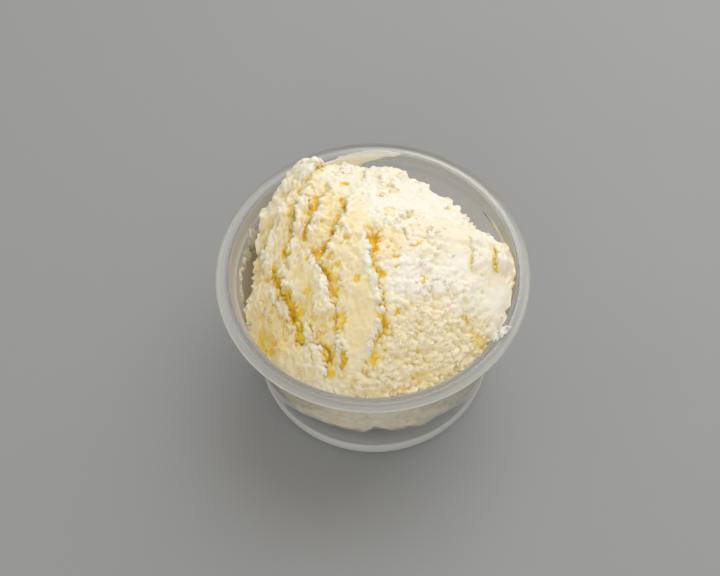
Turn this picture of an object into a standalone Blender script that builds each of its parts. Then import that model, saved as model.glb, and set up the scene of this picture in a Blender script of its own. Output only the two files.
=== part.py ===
"""A clear round plastic tub heaped with kaymak (clotted cream), at real size.

Two closed solids on one vertical axis, the origin at the middle of the
surface that the tub stands on, +Z up:

    tub      the turned polypropylene tub: foot ring, tapered wall,
             stacking shoulder, lid bead and inner lip
    kaymak   the cream: pressed to the tub's wall in front, cut away from it
             at the back right, and heaped in torn, overlapping folds

Sizes are in millimetres, and MM turns them to metres where meshes are made.
Azimuths run anticlockwise from +X, seen from above; the front is -Y.
"""

import math
from typing import NamedTuple

import bmesh
import bpy
import numpy as np

MM = 0.001

# --- Tub -------------------------------------------------------------------
TUB_HEIGHT = 56.0
RIM_RADIUS = 50.5
BASE_RADIUS = 38.9
WALL = 0.8                    # thickness of the side wall
TAPER = 0.1237                # the wall's run outwards for each mm of height
SHOULDER_DROP = 5.0           # from the rim down to the stacking shoulder
SHOULDER_STEP = 1.25          # how far the shoulder widens the wall
FLOOR_LEVEL = 2.2             # top of the clear floor
FLOOR_RECESS = 1.1            # the floor's underside above the table
FOOT_WIDTH = 3.0              # the flat ring that the tub stands on
BEAD_WIDTH = 2.2              # the rounded outer bead that a lid grips
BEAD_DEPTH = 2.2
LIP_WIDTH = 1.2               # the raised inner lip
GROOVE_DEPTH = 0.6            # between bead and lip
TUB_SEGMENTS = 60

# --- Kaymak ----------------------------------------------------------------
CROWN_RISE = 20.0             # the heap's top above the rim
CROWN_POWER = 2.1             # 2 is a paraboloid, more is flatter on top
CLEARANCE = 0.3               # between the cream and the tub's wall
FOLD_DROP_RUN = 1.5           # how wide a fold's drop is, in plan
FILL_LEVEL = 20.0             # where the cream's underside meets the wall
BELLY_SAG = 3.5               # how far the underside hangs in the middle
CUBE_CUTS = 55                # the cream starts as a cube cut into a grid
KEPT_SHARE = 0.25             # of its triangles, after they are thinned
TOP_POLAR = math.radians(122.0)   # the share of the start shape that is top
SIDE_POLAR = math.radians(150.0)  # and where the sides end


class Station(NamedTuple):
    """The heap's edge at one azimuth: its radius and height over the rim."""

    azimuth: float
    radius: float
    rise: float


CROWN_EDGE = (
    Station(0, 43.6, 0), Station(6, 43.6, 3), Station(12, 39.5, 4), Station(20, 36, 4.5),
    Station(32, 34, 4.5), Station(48, 33, 4.5), Station(62, 32.8, 5), Station(72, 34, 5.5),
    Station(82, 36, 5.5), Station(94, 38, 4.2), Station(106, 40, 4.2), Station(122, 42.8, 6.5),
    Station(133, 42.2, 6), Station(147, 41.5, 3), Station(160, 40.5, -3), Station(180, 41, -8),
    Station(200, 42.5, -9), Station(225, 43.3, -8), Station(260, 43.3, -7.5),
    Station(310, 43.3, -7.5), Station(335, 43.5, -4),
)


class Fold(NamedTuple):
    """A torn fold: the cream rises to its edge, then drops into a gully.

    route runs from the back to the front; side is +1 where the drop faces
    +X and -1 where it faces -X.
    """

    route: tuple
    side: int
    lift: float
    run: float
    gully: float
    width: float


FOLDS = (
    Fold(((-24, 27), (-31, 17), (-34.5, 6), (-35.5, -3)), -1, 1.6, 5, 2.2, 2.5),
    Fold(((-19, 26.5), (-23, 18), (-25.3, 8), (-26.5, -2)), -1, 2.2, 4, 3.2, 2.6),
    Fold(((-14.5, 19), (-17.4, 11.5), (-20.5, 2)), -1, 2.2, 3.5, 3.4, 2.4),
    Fold(((-6.5, 19), (-9, 8), (-13.5, -1), (-16.5, -7.5)), -1, 2.2, 4, 3.6, 2.8),
    Fold(((-20.5, 2), (-18, -7), (-14.6, -14), (-13.2, -24)), 1, 2.2, 3.5, 3.4, 2.8),
    Fold(((-3, 7), (-1, -8), (1.6, -21), (0, -30), (-6, -38)), 1, 2.6, 5, 3.8, 3.6),
    Fold(((-31.5, 2), (-28.6, -7.6), (-25, -15.5), (-21.5, -27)), -1, 2.2, 6, 5.0, 3.6),
    Fold(((-34, -5), (-30, -15), (-25, -23), (-18.5, -30)), -1, 2.2, 3.5, 3.0, 4),
    Fold(((-23, -26), (-17, -30), (-15.3, -34), (-17, -38)), 1, 2.0, 4, 2.8, 2.6),
    Fold(((-11.5, -19), (-11.5, -27), (-13, -34)), -1, 1.6, 3, 2.8, 2.2),
    Fold(((-1, -10), (6, -7.5), (12.5, -2.5), (20, 2)), 1, 1.2, 3, 1.6, 1.8),
    Fold(((24.5, 11), (26.5, -2), (26.5, -11), (25, -20)), -1, 1.2, 4, 1.6, 2.4),
    Fold(((29.5, 5), (31.2, -1.5), (31.5, -8)), -1, 1.4, 3, 1.8, 2.2),
    Fold(((36.6, 4), (36.8, -1), (36.4, -7)), -1, 2.0, 4, 2.4, 2.2),
    Fold(((-10.5, 49), (-14, 41.5), (-17.5, 34), (-23, 25)), 1, 3.0, 7, 2.6, 3.0),
)


class Swell(NamedTuple):
    """A round lump on the heap, or a dip where its height is negative."""

    x: float
    y: float
    radius: float
    height: float


SWELLS = (
    Swell(-20, 36, 6, 1.0), Swell(-21, -8, 7, 1.0), Swell(-6, -10, 8, 1.0),
    Swell(-22, -31, 5, 1.2), Swell(-9, -34, 5, 1.6), Swell(34.5, -3, 3.5, 1.6),
    Swell(41, -1.5, 3.4, 3.0), Swell(10, 24, 6, 1.5), Swell(12, -37, 6, 1.0),
    Swell(7, 31.5, 4.5, 1.8), Swell(30.5, -22.5, 4.5, -2.4), Swell(-36.5, -19, 7, -2.6),
    Swell(0.6, 1.0, 2.0, -1.8), Swell(-16.2, -27.5, 2.6, -1.4), Swell(15, -35, 4, -0.8),
)

# The thin wing of cream smeared along the wall behind the heap
WING_START = 119.0            # azimuths, from its root in the heap to its tip
WING_END = 77.0
WING_RADIUS = 43.85
WING_THICKNESS = 1.9
WING_HEIGHT = 6.4
WING_LEVEL = -0.7             # the middle of its height at the root, over the rim
WING_LIFT = 1.3               # how far the middle rises towards the tip
WING_STEPS = 14
WING_SIDES = 10


# --- Shared helpers ----------------------------------------------------------

def clear_scene():
    """Remove every object that the file opened with."""
    for item in list(bpy.data.objects):
        bpy.data.objects.remove(item, do_unlink=True)


def make_material(name, colour, roughness, transmission=0.0):
    """Make a Principled material of one colour."""
    material = bpy.data.materials.new(name)
    material.use_nodes = True
    shader = material.node_tree.nodes["Principled BSDF"]
    shader.inputs["Base Color"].default_value = (*colour, 1.0)
    shader.inputs["Roughness"].default_value = roughness
    shader.inputs["Metallic"].default_value = 0.0
    shader.inputs["Transmission Weight"].default_value = transmission
    return material


def link_object(name, mesh, collection, material):
    """Put a mesh in the collection as a smooth object with one material."""
    mesh.materials.append(material)
    mesh.shade_smooth()
    item = bpy.data.objects.new(name, mesh)
    collection.objects.link(item)
    return item


def smooth_step(value):
    """Ease from 0 to 1 as value goes from 0 to 1."""
    value = np.clip(value, 0.0, 1.0)
    return value * value * (3.0 - 2.0 * value)


# --- Tub -----------------------------------------------------------------------

def inner_wall(height):
    """The inner wall's radius below the shoulder, at a height above the table."""
    return BASE_RADIUS - WALL - 0.1 + TAPER * (height - FLOOR_LEVEL)


def arc(centre_r, centre_z, radius, start, end, steps):
    """Points on an arc in the (r, z) plane, from start to end in degrees."""
    angles = [math.radians(start + (end - start) * k / steps) for k in range(steps + 1)]
    return [(centre_r + radius * math.cos(a), centre_z + radius * math.sin(a)) for a in angles]


def tub_profile():
    """The tub's section: up its inside from the axis, and down its outside."""
    top = TUB_HEIGHT
    shoulder = top - SHOULDER_DROP
    neck = inner_wall(shoulder)               # inner radius just under the shoulder
    mouth = neck + SHOULDER_STEP              # and just above it
    bead_radius = BEAD_WIDTH / 2.0
    bead_centre = RIM_RADIUS - bead_radius
    lip_centre = mouth + LIP_WIDTH * 0.75
    heel = 1.5
    foot_inner = BASE_RADIUS - FOOT_WIDTH

    inside = [(0.0, FLOOR_LEVEL), (foot_inner - 1.0, FLOOR_LEVEL)]
    inside += arc(inner_wall(FLOOR_LEVEL) - 2.0, FLOOR_LEVEL + 2.0, 2.0, -90, -8, 3)
    inside += [(neck, shoulder - 0.5), (neck + 0.2, shoulder - 0.1)]
    inside += [(mouth - 0.2, shoulder + 0.1), (mouth, shoulder + 0.5), (mouth + 0.2, top - 1.2)]
    rim = arc(lip_centre, top - 0.6, 0.5, 160, 20, 3)
    rim += [(lip_centre + 0.9, top - GROOVE_DEPTH), (bead_centre - bead_radius, top - GROOVE_DEPTH)]
    rim += arc(bead_centre, top - bead_radius, bead_radius, 120, -60, 6)
    rim += [(bead_centre - 0.4, top - BEAD_DEPTH + 0.2), (bead_centre - 1.2, top - 1.5)]
    rim += [(lip_centre + 0.8, top - 1.5), (mouth + WALL + 0.25, top - 2.6)]
    outside = [(mouth + WALL, shoulder + 0.1), (neck + WALL + 0.1, shoulder - 0.9)]
    outside += arc(BASE_RADIUS - heel, heel, heel, 8, -90, 3)
    outside += [(foot_inner, 0.0), (foot_inner - 1.0, FLOOR_RECESS), (0.0, FLOOR_RECESS)]
    return inside + rim + outside


def build_tub(collection, material):
    """Turn the tub's section about the vertical axis."""
    points = tub_profile()
    mesh = bpy.data.meshes.new("tub")
    mesh.from_pydata([(r * MM, 0.0, z * MM) for r, z in points],
                     [(k, k + 1) for k in range(len(points) - 1)], [])
    tub = link_object("tub", mesh, collection, material)
    screw = tub.modifiers.new("turned", "SCREW")
    screw.axis = "Z"
    screw.steps = TUB_SEGMENTS
    screw.render_steps = TUB_SEGMENTS
    screw.use_merge_vertices = True
    screw.merge_threshold = 0.00001
    screw.use_smooth_shade = True
    return tub


# --- The heap's form --------------------------------------------------------------

def lattice_noise(x, y, seed):
    """Smooth noise between about -1 and 1, with features one unit apart."""
    draws = np.random.default_rng(seed)
    table = np.concatenate([draws.permutation(256)] * 2)
    turns = draws.uniform(0.0, 2.0 * math.pi, 256)
    cell_x, cell_y = np.floor(x).astype(int), np.floor(y).astype(int)
    part_x, part_y = x - cell_x, y - cell_y
    fade_x, fade_y = smooth_step(part_x), smooth_step(part_y)

    def corner(step_x, step_y):
        turn = turns[table[table[(cell_x + step_x) & 255] + ((cell_y + step_y) & 255)]]
        return np.cos(turn) * (part_x - step_x) + np.sin(turn) * (part_y - step_y)

    near = corner(0, 0) * (1 - fade_x) + corner(1, 0) * fade_x
    far = corner(0, 1) * (1 - fade_x) + corner(1, 1) * fade_x
    return 1.4 * (near * (1 - fade_y) + far * fade_y)


def rough(x, y, size, layers, seed):
    """Noise in layers, each half the size and half the height of the last."""
    total = sum(lattice_noise(x / size * 2 ** k, y / size * 2 ** k, seed + k) / 2 ** k
                for k in range(layers))
    return total / (2.0 - 2.0 ** (1 - layers))


def round_the_tub(azimuth, values):
    """Read values given at the edge's stations at any azimuth, smoothly."""
    degrees = np.degrees(azimuth) % 360.0
    angles = np.array([s.azimuth for s in CROWN_EDGE] + [CROWN_EDGE[0].azimuth + 360.0])
    values = np.array(list(values) + [values[0]])
    k = np.clip(np.searchsorted(angles, degrees, side="right") - 1, 0, len(angles) - 2)
    share = smooth_step((degrees - angles[k]) / (angles[k + 1] - angles[k]))
    return values[k] * (1 - share) + values[k + 1] * share


def crown_edge(azimuth):
    """The radius of the heap's edge and its height above the table."""
    radius = round_the_tub(azimuth, [s.radius for s in CROWN_EDGE])
    return radius, TUB_HEIGHT + round_the_tub(azimuth, [s.rise for s in CROWN_EDGE])


def smooth_route(route, steps=8):
    """Points on a Catmull-Rom curve through a fold's few points."""
    fixed = np.array(route, float)
    fixed = np.vstack([2 * fixed[0] - fixed[1], fixed, 2 * fixed[-1] - fixed[-2]])
    shares = np.linspace(0.0, 1.0, steps, endpoint=False)[:, None]
    spans = []
    for a, b, c, d in zip(fixed, fixed[1:], fixed[2:], fixed[3:]):
        spans.append(0.5 * (2 * b + (c - a) * shares + (2 * a - 5 * b + 4 * c - d) * shares ** 2
                            + (3 * b - a - 3 * c + d) * shares ** 3))
    return np.vstack(spans + [fixed[-2][None]])


def beside_route(x, y, route):
    """How far points lie from a route, towards +X of it, and how far along it."""
    line = smooth_route(route)
    lengths = np.concatenate([[0.0], np.cumsum(np.hypot(*np.diff(line, axis=0).T))])
    nearest = np.full(x.shape, 1e9)
    offset, along = np.zeros(x.shape), np.zeros(x.shape)
    for k, (start, end) in enumerate(zip(line, line[1:])):
        step = end - start
        share = np.clip(((x - start[0]) * step[0] + (y - start[1]) * step[1]) / (step @ step), 0, 1)
        away_x, away_y = x - start[0] - share * step[0], y - start[1] - share * step[1]
        away = np.hypot(away_x, away_y)
        closer = away < nearest
        nearest = np.where(closer, away, nearest)
        towards = np.where(step[0] * away_y - step[1] * away_x >= 0, away, -away)
        offset = np.where(closer, towards, offset)
        along = np.where(closer, lengths[k] + share * (lengths[k + 1] - lengths[k]), along)
    return offset, along / lengths[-1]


def fold_height(x, y, fold):
    """What one fold adds to the heap's height."""
    offset, along = beside_route(x, y, fold.route)
    offset = offset * fold.side
    rise = fold.lift * np.exp(np.minimum(offset, 0.0) / fold.run)
    drop = -fold.gully * np.exp(-(np.maximum(offset, 0.0) / fold.width) ** 1.4)
    past = smooth_step(0.5 + offset / FOLD_DROP_RUN)
    ends = smooth_step(np.minimum(along, 1.0 - along) / 0.18)
    return (rise * (1 - past) + drop * past) * ends


def crown_height(x, y):
    """The heap's height above the table at points in plan."""
    radius, edge_height = crown_edge(np.arctan2(y, x))
    reach = np.minimum(np.hypot(x, y) / radius, 1.0)
    peak = TUB_HEIGHT + CROWN_RISE - 1.0
    height = edge_height + (peak - edge_height) * (1 - reach ** CROWN_POWER)
    ragged_x = x + 1.1 * rough(x, y, 6.0, 3, 11)
    ragged_y = y + 1.1 * rough(x, y, 6.0, 3, 21)
    for fold in FOLDS:
        height = height + fold_height(ragged_x, ragged_y, fold)
    for swell in SWELLS:
        away = ((ragged_x - swell.x) ** 2 + (ragged_y - swell.y) ** 2) / swell.radius ** 2
        height = height + swell.height * np.exp(-away)
    return height + 0.8 * rough(x, y, 5.0, 2, 31)


def place_cream(directions):
    """Carry points of a unit ball to the cream's surface, in millimetres.

    The ball's top becomes the heap, a belt below it becomes the side that
    faces the tub's wall, and the rest becomes the underside.
    """
    x, y, z = directions.T
    polar = np.arccos(np.clip(z, -1.0, 1.0))
    azimuth = np.arctan2(y, x)
    edge_radius, _ = crown_edge(azimuth)
    turn_x, turn_y = 9.0 * np.cos(azimuth), 9.0 * np.sin(azimuth)
    low_height = FILL_LEVEL + 2.2 * rough(turn_x, turn_y, 3.0, 3, 41)
    low_radius = inner_wall(low_height) - CLEARANCE

    top_share = np.sin(np.minimum(polar, TOP_POLAR) / 2) / math.sin(TOP_POLAR / 2)
    top_radius = edge_radius * top_share
    top_x, top_y = top_radius * np.cos(azimuth), top_radius * np.sin(azimuth)
    top_height = crown_height(top_x, top_y)

    side_share = np.clip((polar - TOP_POLAR) / (SIDE_POLAR - TOP_POLAR), 0.0, 1.0)
    side_height = top_height + (low_height - top_height) * side_share
    depth = np.maximum(top_height - side_height, 0.0)
    free_radius = edge_radius + 0.05 * depth + 0.0085 * depth ** 2
    free_radius = free_radius + 0.7 * rough(4 * turn_x, side_height, 6.0, 2, 51) * side_share
    wall_radius = inner_wall(np.minimum(side_height, TUB_HEIGHT - SHOULDER_DROP - 1.0)) - CLEARANCE
    above = side_height > TUB_HEIGHT - SHOULDER_DROP - 1.0
    wall_radius = np.where(above, np.maximum(wall_radius, edge_radius), wall_radius)
    side_radius = np.minimum(free_radius, wall_radius)

    under_share = np.sin((math.pi - np.maximum(polar, SIDE_POLAR)) / 2)
    under_share = under_share / math.sin((math.pi - SIDE_POLAR) / 2)
    under_radius = low_radius * under_share
    under_x, under_y = under_radius * np.cos(azimuth), under_radius * np.sin(azimuth)
    under_height = low_height - BELLY_SAG * (1 - under_share ** 2)
    under_height = under_height + 1.4 * rough(under_x, under_y, 9.0, 3, 61) * (1 - under_share ** 4)

    on_top, on_side = polar <= TOP_POLAR, polar <= SIDE_POLAR
    radius = np.where(on_top, top_radius, np.where(on_side, side_radius, under_radius))
    height = np.where(on_top, top_height, np.where(on_side, side_height, under_height))
    return np.stack([radius * np.cos(azimuth), radius * np.sin(azimuth), height], axis=-1)


def build_wing(collection, material):
    """The thin wing: an oval section carried along the wall to a fine tip."""
    mesh = bpy.data.meshes.new("wing")
    shape = bmesh.new()
    bmesh.ops.create_cone(shape, cap_ends=True, segments=WING_SIDES, radius1=1.0, radius2=1.0,
                          depth=1.0)
    body = [edge for edge in shape.edges if abs(edge.verts[0].co.z - edge.verts[1].co.z) > 0.5]
    bmesh.ops.subdivide_edges(shape, edges=body, cuts=WING_STEPS, use_grid_fill=True)
    for vert in shape.verts:
        share = vert.co.z + 0.5
        size = (1.0 - 0.93 * share ** 1.6) ** 0.8
        azimuth = math.radians(WING_START + (WING_END - WING_START) * share)
        radius = WING_RADIUS + 0.5 * WING_THICKNESS * vert.co.x * (0.45 + 0.55 * size)
        middle = TUB_HEIGHT + WING_LEVEL + WING_LIFT * share ** 3
        height = middle + 0.5 * WING_HEIGHT * vert.co.y * size
        vert.co = (radius * MM * math.cos(azimuth), radius * MM * math.sin(azimuth), height * MM)
    bmesh.ops.recalc_face_normals(shape, faces=shape.faces)
    shape.to_mesh(mesh)
    shape.free()
    wing = link_object("wing", mesh, collection, material)
    wing.hide_render = True
    wing.display_type = "WIRE"
    return wing


def build_kaymak(collection, cutters, material):
    """Shape a gridded cube into the cream, thin it, and join the wing to it."""
    mesh = bpy.data.meshes.new("kaymak")
    shape = bmesh.new()
    bmesh.ops.create_cube(shape, size=2.0)
    bmesh.ops.subdivide_edges(shape, edges=shape.edges[:], cuts=CUBE_CUTS, use_grid_fill=True)
    cube = np.array([vert.co[:] for vert in shape.verts])
    ball = np.tan(cube * math.pi / 4)         # even cells once it is a ball
    ball = ball / np.linalg.norm(ball, axis=1)[:, None]
    for vert, place in zip(shape.verts, place_cream(ball)):
        vert.co = place * MM
    bmesh.ops.triangulate(shape, faces=shape.faces[:])
    bmesh.ops.recalc_face_normals(shape, faces=shape.faces[:])
    shape.to_mesh(mesh)
    shape.free()
    kaymak = link_object("kaymak", mesh, collection, material)
    thin = kaymak.modifiers.new("thinned", "DECIMATE")
    thin.ratio = KEPT_SHARE
    join = kaymak.modifiers.new("wing", "BOOLEAN")
    join.operation = "UNION"
    join.solver = "EXACT"
    join.object = build_wing(cutters, material)
    return kaymak


def main():
    """Build both solids in one collection, with the guide in another."""
    clear_scene()
    collection = bpy.data.collections.new("bowl_of_kaymak")
    cutters = bpy.data.collections.new("cutters")
    for group in (collection, cutters):
        bpy.context.scene.collection.children.link(group)
    plastic = make_material("clear_polypropylene", (0.80, 0.81, 0.80), 0.18, 0.85)
    cream = make_material("kaymak_cream", (0.93, 0.86, 0.66), 0.55)
    build_tub(collection, plastic)
    build_kaymak(collection, cutters, cream)


main()
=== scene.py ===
"""The looks of a clear round plastic tub heaped with kaymak (clotted cream).

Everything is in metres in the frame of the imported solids: the origin is in
the middle of the surface that the tub stands on, and +Z is up. Sizes in the
classes are millimetres, which MM turns to metres where meshes are made.
Azimuths run anticlockwise from +X, seen from above; the front is -Y.

    Tub       the turned polypropylene tub
    Heap      the heap's form in plan: its crown, its torn folds, its lumps
    Kaymak    the body of cream that fills the tub and rises as that heap
    Wing      the thin wing of cream along the wall behind the heap
    Smears    flecks of cream wiped on the wall and on the rim
    Crumbs    loose grains of curd on the torn places
    Studio    floor, lights and camera
"""

import itertools
import logging
import math
from dataclasses import dataclass, field
from enum import Enum
from functools import partial
from typing import Any, NamedTuple

import bmesh
import bpy
import numpy as np
from mathutils import Matrix, Vector


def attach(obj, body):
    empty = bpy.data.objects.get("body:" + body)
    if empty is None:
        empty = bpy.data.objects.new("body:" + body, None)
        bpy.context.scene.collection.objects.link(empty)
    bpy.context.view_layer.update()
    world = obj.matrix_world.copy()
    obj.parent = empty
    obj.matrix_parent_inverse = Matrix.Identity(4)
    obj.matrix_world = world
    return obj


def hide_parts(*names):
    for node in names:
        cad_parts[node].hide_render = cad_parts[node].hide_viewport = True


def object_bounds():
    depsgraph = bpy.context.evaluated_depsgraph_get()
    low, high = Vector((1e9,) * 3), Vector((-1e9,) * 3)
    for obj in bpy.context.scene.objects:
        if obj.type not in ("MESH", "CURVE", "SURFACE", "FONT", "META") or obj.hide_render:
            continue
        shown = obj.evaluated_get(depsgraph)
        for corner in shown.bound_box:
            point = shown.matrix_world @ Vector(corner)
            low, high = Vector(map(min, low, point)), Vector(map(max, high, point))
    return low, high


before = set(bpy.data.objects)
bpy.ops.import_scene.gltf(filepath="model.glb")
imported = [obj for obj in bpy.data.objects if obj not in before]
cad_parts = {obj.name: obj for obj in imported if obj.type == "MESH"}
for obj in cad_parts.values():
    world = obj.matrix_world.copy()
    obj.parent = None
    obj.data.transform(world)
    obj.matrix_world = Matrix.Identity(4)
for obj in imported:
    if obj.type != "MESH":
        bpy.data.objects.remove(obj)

CAD_BOX = [list(corner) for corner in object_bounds()]
MM = 0.001
BODY = "root"
WALL_RADIUS = 45.0  # turns an azimuth to millimetres round the wall, for noise

Layers = dict[str, np.ndarray]  # one value, or one row, for each point
Route = tuple[tuple[float, float], ...]

log = logging.getLogger("kaymak")


# --- Shared helpers --------------------------------------------------------------

def linear(code: str) -> tuple[float, float, float, float]:
    """Turn an sRGB hex colour to linear values.

    Args:
        code: the colour as "#rrggbb".

    Returns:
        Red, green and blue from 0 to 1, and an alpha of 1.
    """
    parts = [int(code[k:k + 2], 16) / 255.0 for k in (1, 3, 5)]
    parts = [p / 12.92 if p <= 0.04045 else ((p + 0.055) / 1.055) ** 2.4 for p in parts]
    return (*parts, 1.0)


def per_mm(size: float) -> float:
    """Return the texture scale at which a pattern's features are size millimetres wide."""
    return 1.0 / (size * MM)


def add_node(tree: bpy.types.NodeTree, kind: str, settings: dict[Any, Any] | None = None,
             links: dict[Any, bpy.types.Node | bpy.types.NodeSocket] | None = None,
             ) -> bpy.types.Node:
    """Add one node to a tree, set it up and link it.

    Args:
        tree: the shader or geometry tree.
        kind: the node's type.
        settings: values by property name, or by input name or number. The
            name "stops" sets a colour ramp's (place, hex colour) pairs.
        links: what feeds its inputs, by name or number: an output socket, or
            a node whose first output does.

    Returns:
        The new node.
    """
    node = tree.nodes.new(kind)
    for key, value in (settings or {}).items():
        if key == "stops":
            ramp = node.color_ramp
            while len(ramp.elements) < len(value):
                ramp.elements.new(1.0)
            for element, (place, code) in zip(ramp.elements, value):
                element.position, element.color = place, linear(code)
        elif isinstance(key, str) and key in node.bl_rna.properties:
            setattr(node, key, value)
        else:
            node.inputs[key].default_value = value
    for key, source in (links or {}).items():
        socket = source.outputs[0] if isinstance(source, bpy.types.Node) else source
        tree.links.new(socket, node.inputs[key])
    return node


def smooth_step(value: np.ndarray) -> np.ndarray:
    """Ease from 0 to 1 as value goes from 0 to 1."""
    value = np.clip(value, 0.0, 1.0)
    return value * value * (3.0 - 2.0 * value)


def shuffled(draws: np.random.Generator) -> np.ndarray:
    """Return a shuffled list of 0 to 255, twice over, for looking up lattice corners."""
    return np.concatenate([draws.permutation(256)] * 2)


def lattice_noise(x: np.ndarray, y: np.ndarray, seed: int) -> np.ndarray:
    """Smooth noise in a plane.

    Args:
        x: places along one axis; features are one unit apart.
        y: places along the other.
        seed: which noise it is.

    Returns:
        Values between about -1 and 1.
    """
    draws = np.random.default_rng(seed)
    table = shuffled(draws)
    turns = draws.uniform(0.0, 2.0 * math.pi, 256)
    cell_x, cell_y = np.floor(x).astype(int), np.floor(y).astype(int)
    part_x, part_y = x - cell_x, y - cell_y
    fade_x, fade_y = smooth_step(part_x), smooth_step(part_y)

    def corner(step_x: int, step_y: int) -> np.ndarray:
        """The share of one corner of each point's cell."""
        turn = turns[table[table[(cell_x + step_x) & 255] + ((cell_y + step_y) & 255)]]
        return np.cos(turn) * (part_x - step_x) + np.sin(turn) * (part_y - step_y)

    near = corner(0, 0) * (1 - fade_x) + corner(1, 0) * fade_x
    far = corner(0, 1) * (1 - fade_x) + corner(1, 1) * fade_x
    return 1.4 * (near * (1 - fade_y) + far * fade_y)


def rough(x: np.ndarray, y: np.ndarray, size: float, layers: int, seed: int) -> np.ndarray:
    """Noise in layers, each half the size and half the height of the last.

    Args:
        x: places along one axis, in millimetres.
        y: places along the other.
        size: how far apart the largest features are, in millimetres.
        layers: how many layers are added up.
        seed: which noise it is.

    Returns:
        Values between about -1 and 1.
    """
    total = sum(lattice_noise(x / size * 2 ** k, y / size * 2 ** k, seed + k) / 2 ** k
                for k in range(layers))
    return total / (2.0 - 2.0 ** (1 - layers))


def cell_of(points: np.ndarray, step: np.ndarray, table: np.ndarray) -> np.ndarray:
    """Return the table's draw for the lattice cell that lies step away from each point's own."""
    cell = (np.floor(points).astype(int) + step) & 255
    return table[table[table[cell[:, 0]] + cell[:, 1]] + cell[:, 2]]


def solid_noise(points: np.ndarray, size: float, seed: int) -> np.ndarray:
    """Smooth noise in space.

    Args:
        points: places, one row each, in millimetres.
        size: how far apart features are, in millimetres.
        seed: which noise it is.

    Returns:
        Values between about -1 and 1.
    """
    draws = np.random.default_rng(seed)
    table = shuffled(draws)
    slopes = draws.normal(size=(256, 3))
    slopes /= np.linalg.norm(slopes, axis=1)[:, None]
    points = points / size
    part = points - np.floor(points)
    fade = smooth_step(part)
    total = np.zeros(len(points))
    for step in itertools.product((0, 1), repeat=3):
        step = np.array(step)
        share = np.prod(np.where(step == 1, fade, 1 - fade), axis=1)
        total += share * np.sum(slopes[cell_of(points, step, table)] * (part - step), axis=1)
    return 1.6 * total


def curds(points: np.ndarray, size: float, seed: int) -> np.ndarray:
    """Round lumps of uneven size packed in space, as curds are.

    Args:
        points: places, one row each, in millimetres.
        size: how far apart the lumps are, in millimetres.
        seed: which packing it is.

    Returns:
        1 on top of a lump, falling to 0 where lumps meet.
    """
    draws = np.random.default_rng(seed)
    table = shuffled(draws)
    middles = draws.uniform(0.1, 0.9, (256, 3))
    radii = draws.uniform(0.55, 1.0, 256)
    points = points / size
    part = points - np.floor(points)
    nearest = np.full(len(points), 1.0)
    for step in itertools.product((-1, 0, 1), repeat=3):
        step = np.array(step)
        draw = cell_of(points, step, table)
        away = np.sum((middles[draw] + step - part) ** 2, axis=1) / radii[draw] ** 2
        nearest = np.minimum(nearest, away)
    return np.sqrt(1.0 - nearest)


def turned_from(azimuth: np.ndarray, middle: float) -> np.ndarray:
    """Return how many degrees an azimuth in radians lies past middle, from -180 to 180."""
    return (np.degrees(azimuth) - middle + 180.0) % 360.0 - 180.0


def points_and_faces(shape: bmesh.types.BMesh) -> tuple[np.ndarray, np.ndarray]:
    """Read a shape into arrays and free it.

    Args:
        shape: the shape, whose faces have equally many corners.

    Returns:
        Its points, and for each face its corners' numbers.
    """
    points = np.array([vert.co[:] for vert in shape.verts])
    faces = np.array([[vert.index for vert in face.verts] for face in shape.faces])
    shape.free()
    return points, faces


def mesh_normals(places: np.ndarray, quads: np.ndarray) -> np.ndarray:
    """Work out which way each vertex of a mesh faces.

    Args:
        places: the vertices' places.
        quads: its four-sided faces.

    Returns:
        A direction of length 1 for each vertex.
    """
    across = places[quads[:, 2]] - places[quads[:, 0]]
    along = places[quads[:, 3]] - places[quads[:, 1]]
    faces = np.cross(across, along)
    normals = np.zeros_like(places)
    for axis in range(3):
        for corner in range(4):
            normals[:, axis] += np.bincount(quads[:, corner], faces[:, axis], len(places))
    return normals / np.maximum(np.linalg.norm(normals, axis=1), 1e-12)[:, None]


def evened(values: np.ndarray, quads: np.ndarray, rounds: int) -> np.ndarray:
    """Average each vertex's row of values with its neighbours', a few times over.

    Args:
        values: one row for each vertex.
        quads: the mesh's four-sided faces.
        rounds: how many times.

    Returns:
        The evened rows.
    """
    start = np.concatenate([quads[:, k] for k in range(4)])
    end = np.concatenate([quads[:, (k + 1) % 4] for k in range(4)])
    count = np.bincount(start, minlength=len(values)) + np.bincount(end, minlength=len(values))
    for _ in range(rounds):
        total = np.stack([np.bincount(start, column[end], len(values))
                          + np.bincount(end, column[start], len(values))
                          for column in values.T], axis=1)
        values = 0.5 * values + 0.5 * total / count[:, None]
    return values


def show(mesh: bpy.types.Mesh, name: str, material: bpy.types.Material) -> bpy.types.Object:
    """Link a mesh to the scene as a smooth object with one material.

    Args:
        mesh: the mesh.
        name: the object's name.
        material: its material.

    Returns:
        The new object.
    """
    mesh.materials.clear()
    mesh.materials.append(material)
    mesh.shade_smooth()
    piece = bpy.data.objects.new(name, mesh)
    bpy.context.scene.collection.objects.link(piece)
    return piece


def paint(mesh: bpy.types.Mesh, layers: Layers) -> None:
    """Give a mesh named layers of one value for each vertex.

    Args:
        mesh: the mesh.
        layers: the values by name.
    """
    for title, values in layers.items():
        layer = mesh.attributes.new(title, "FLOAT", "POINT")
        layer.data.foreach_set("value", np.asarray(values, np.float32))


def settled(piece: bpy.types.Object) -> bpy.types.Object:
    """Turn an object's evaluated form into its plain mesh and drop its modifiers.

    Args:
        piece: the object.

    Returns:
        The same object.
    """
    graph = bpy.context.evaluated_depsgraph_get()
    mesh = bpy.data.meshes.new_from_object(piece.evaluated_get(graph))
    mesh.name = piece.name
    piece.modifiers.clear()
    piece.data = mesh
    return piece


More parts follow.
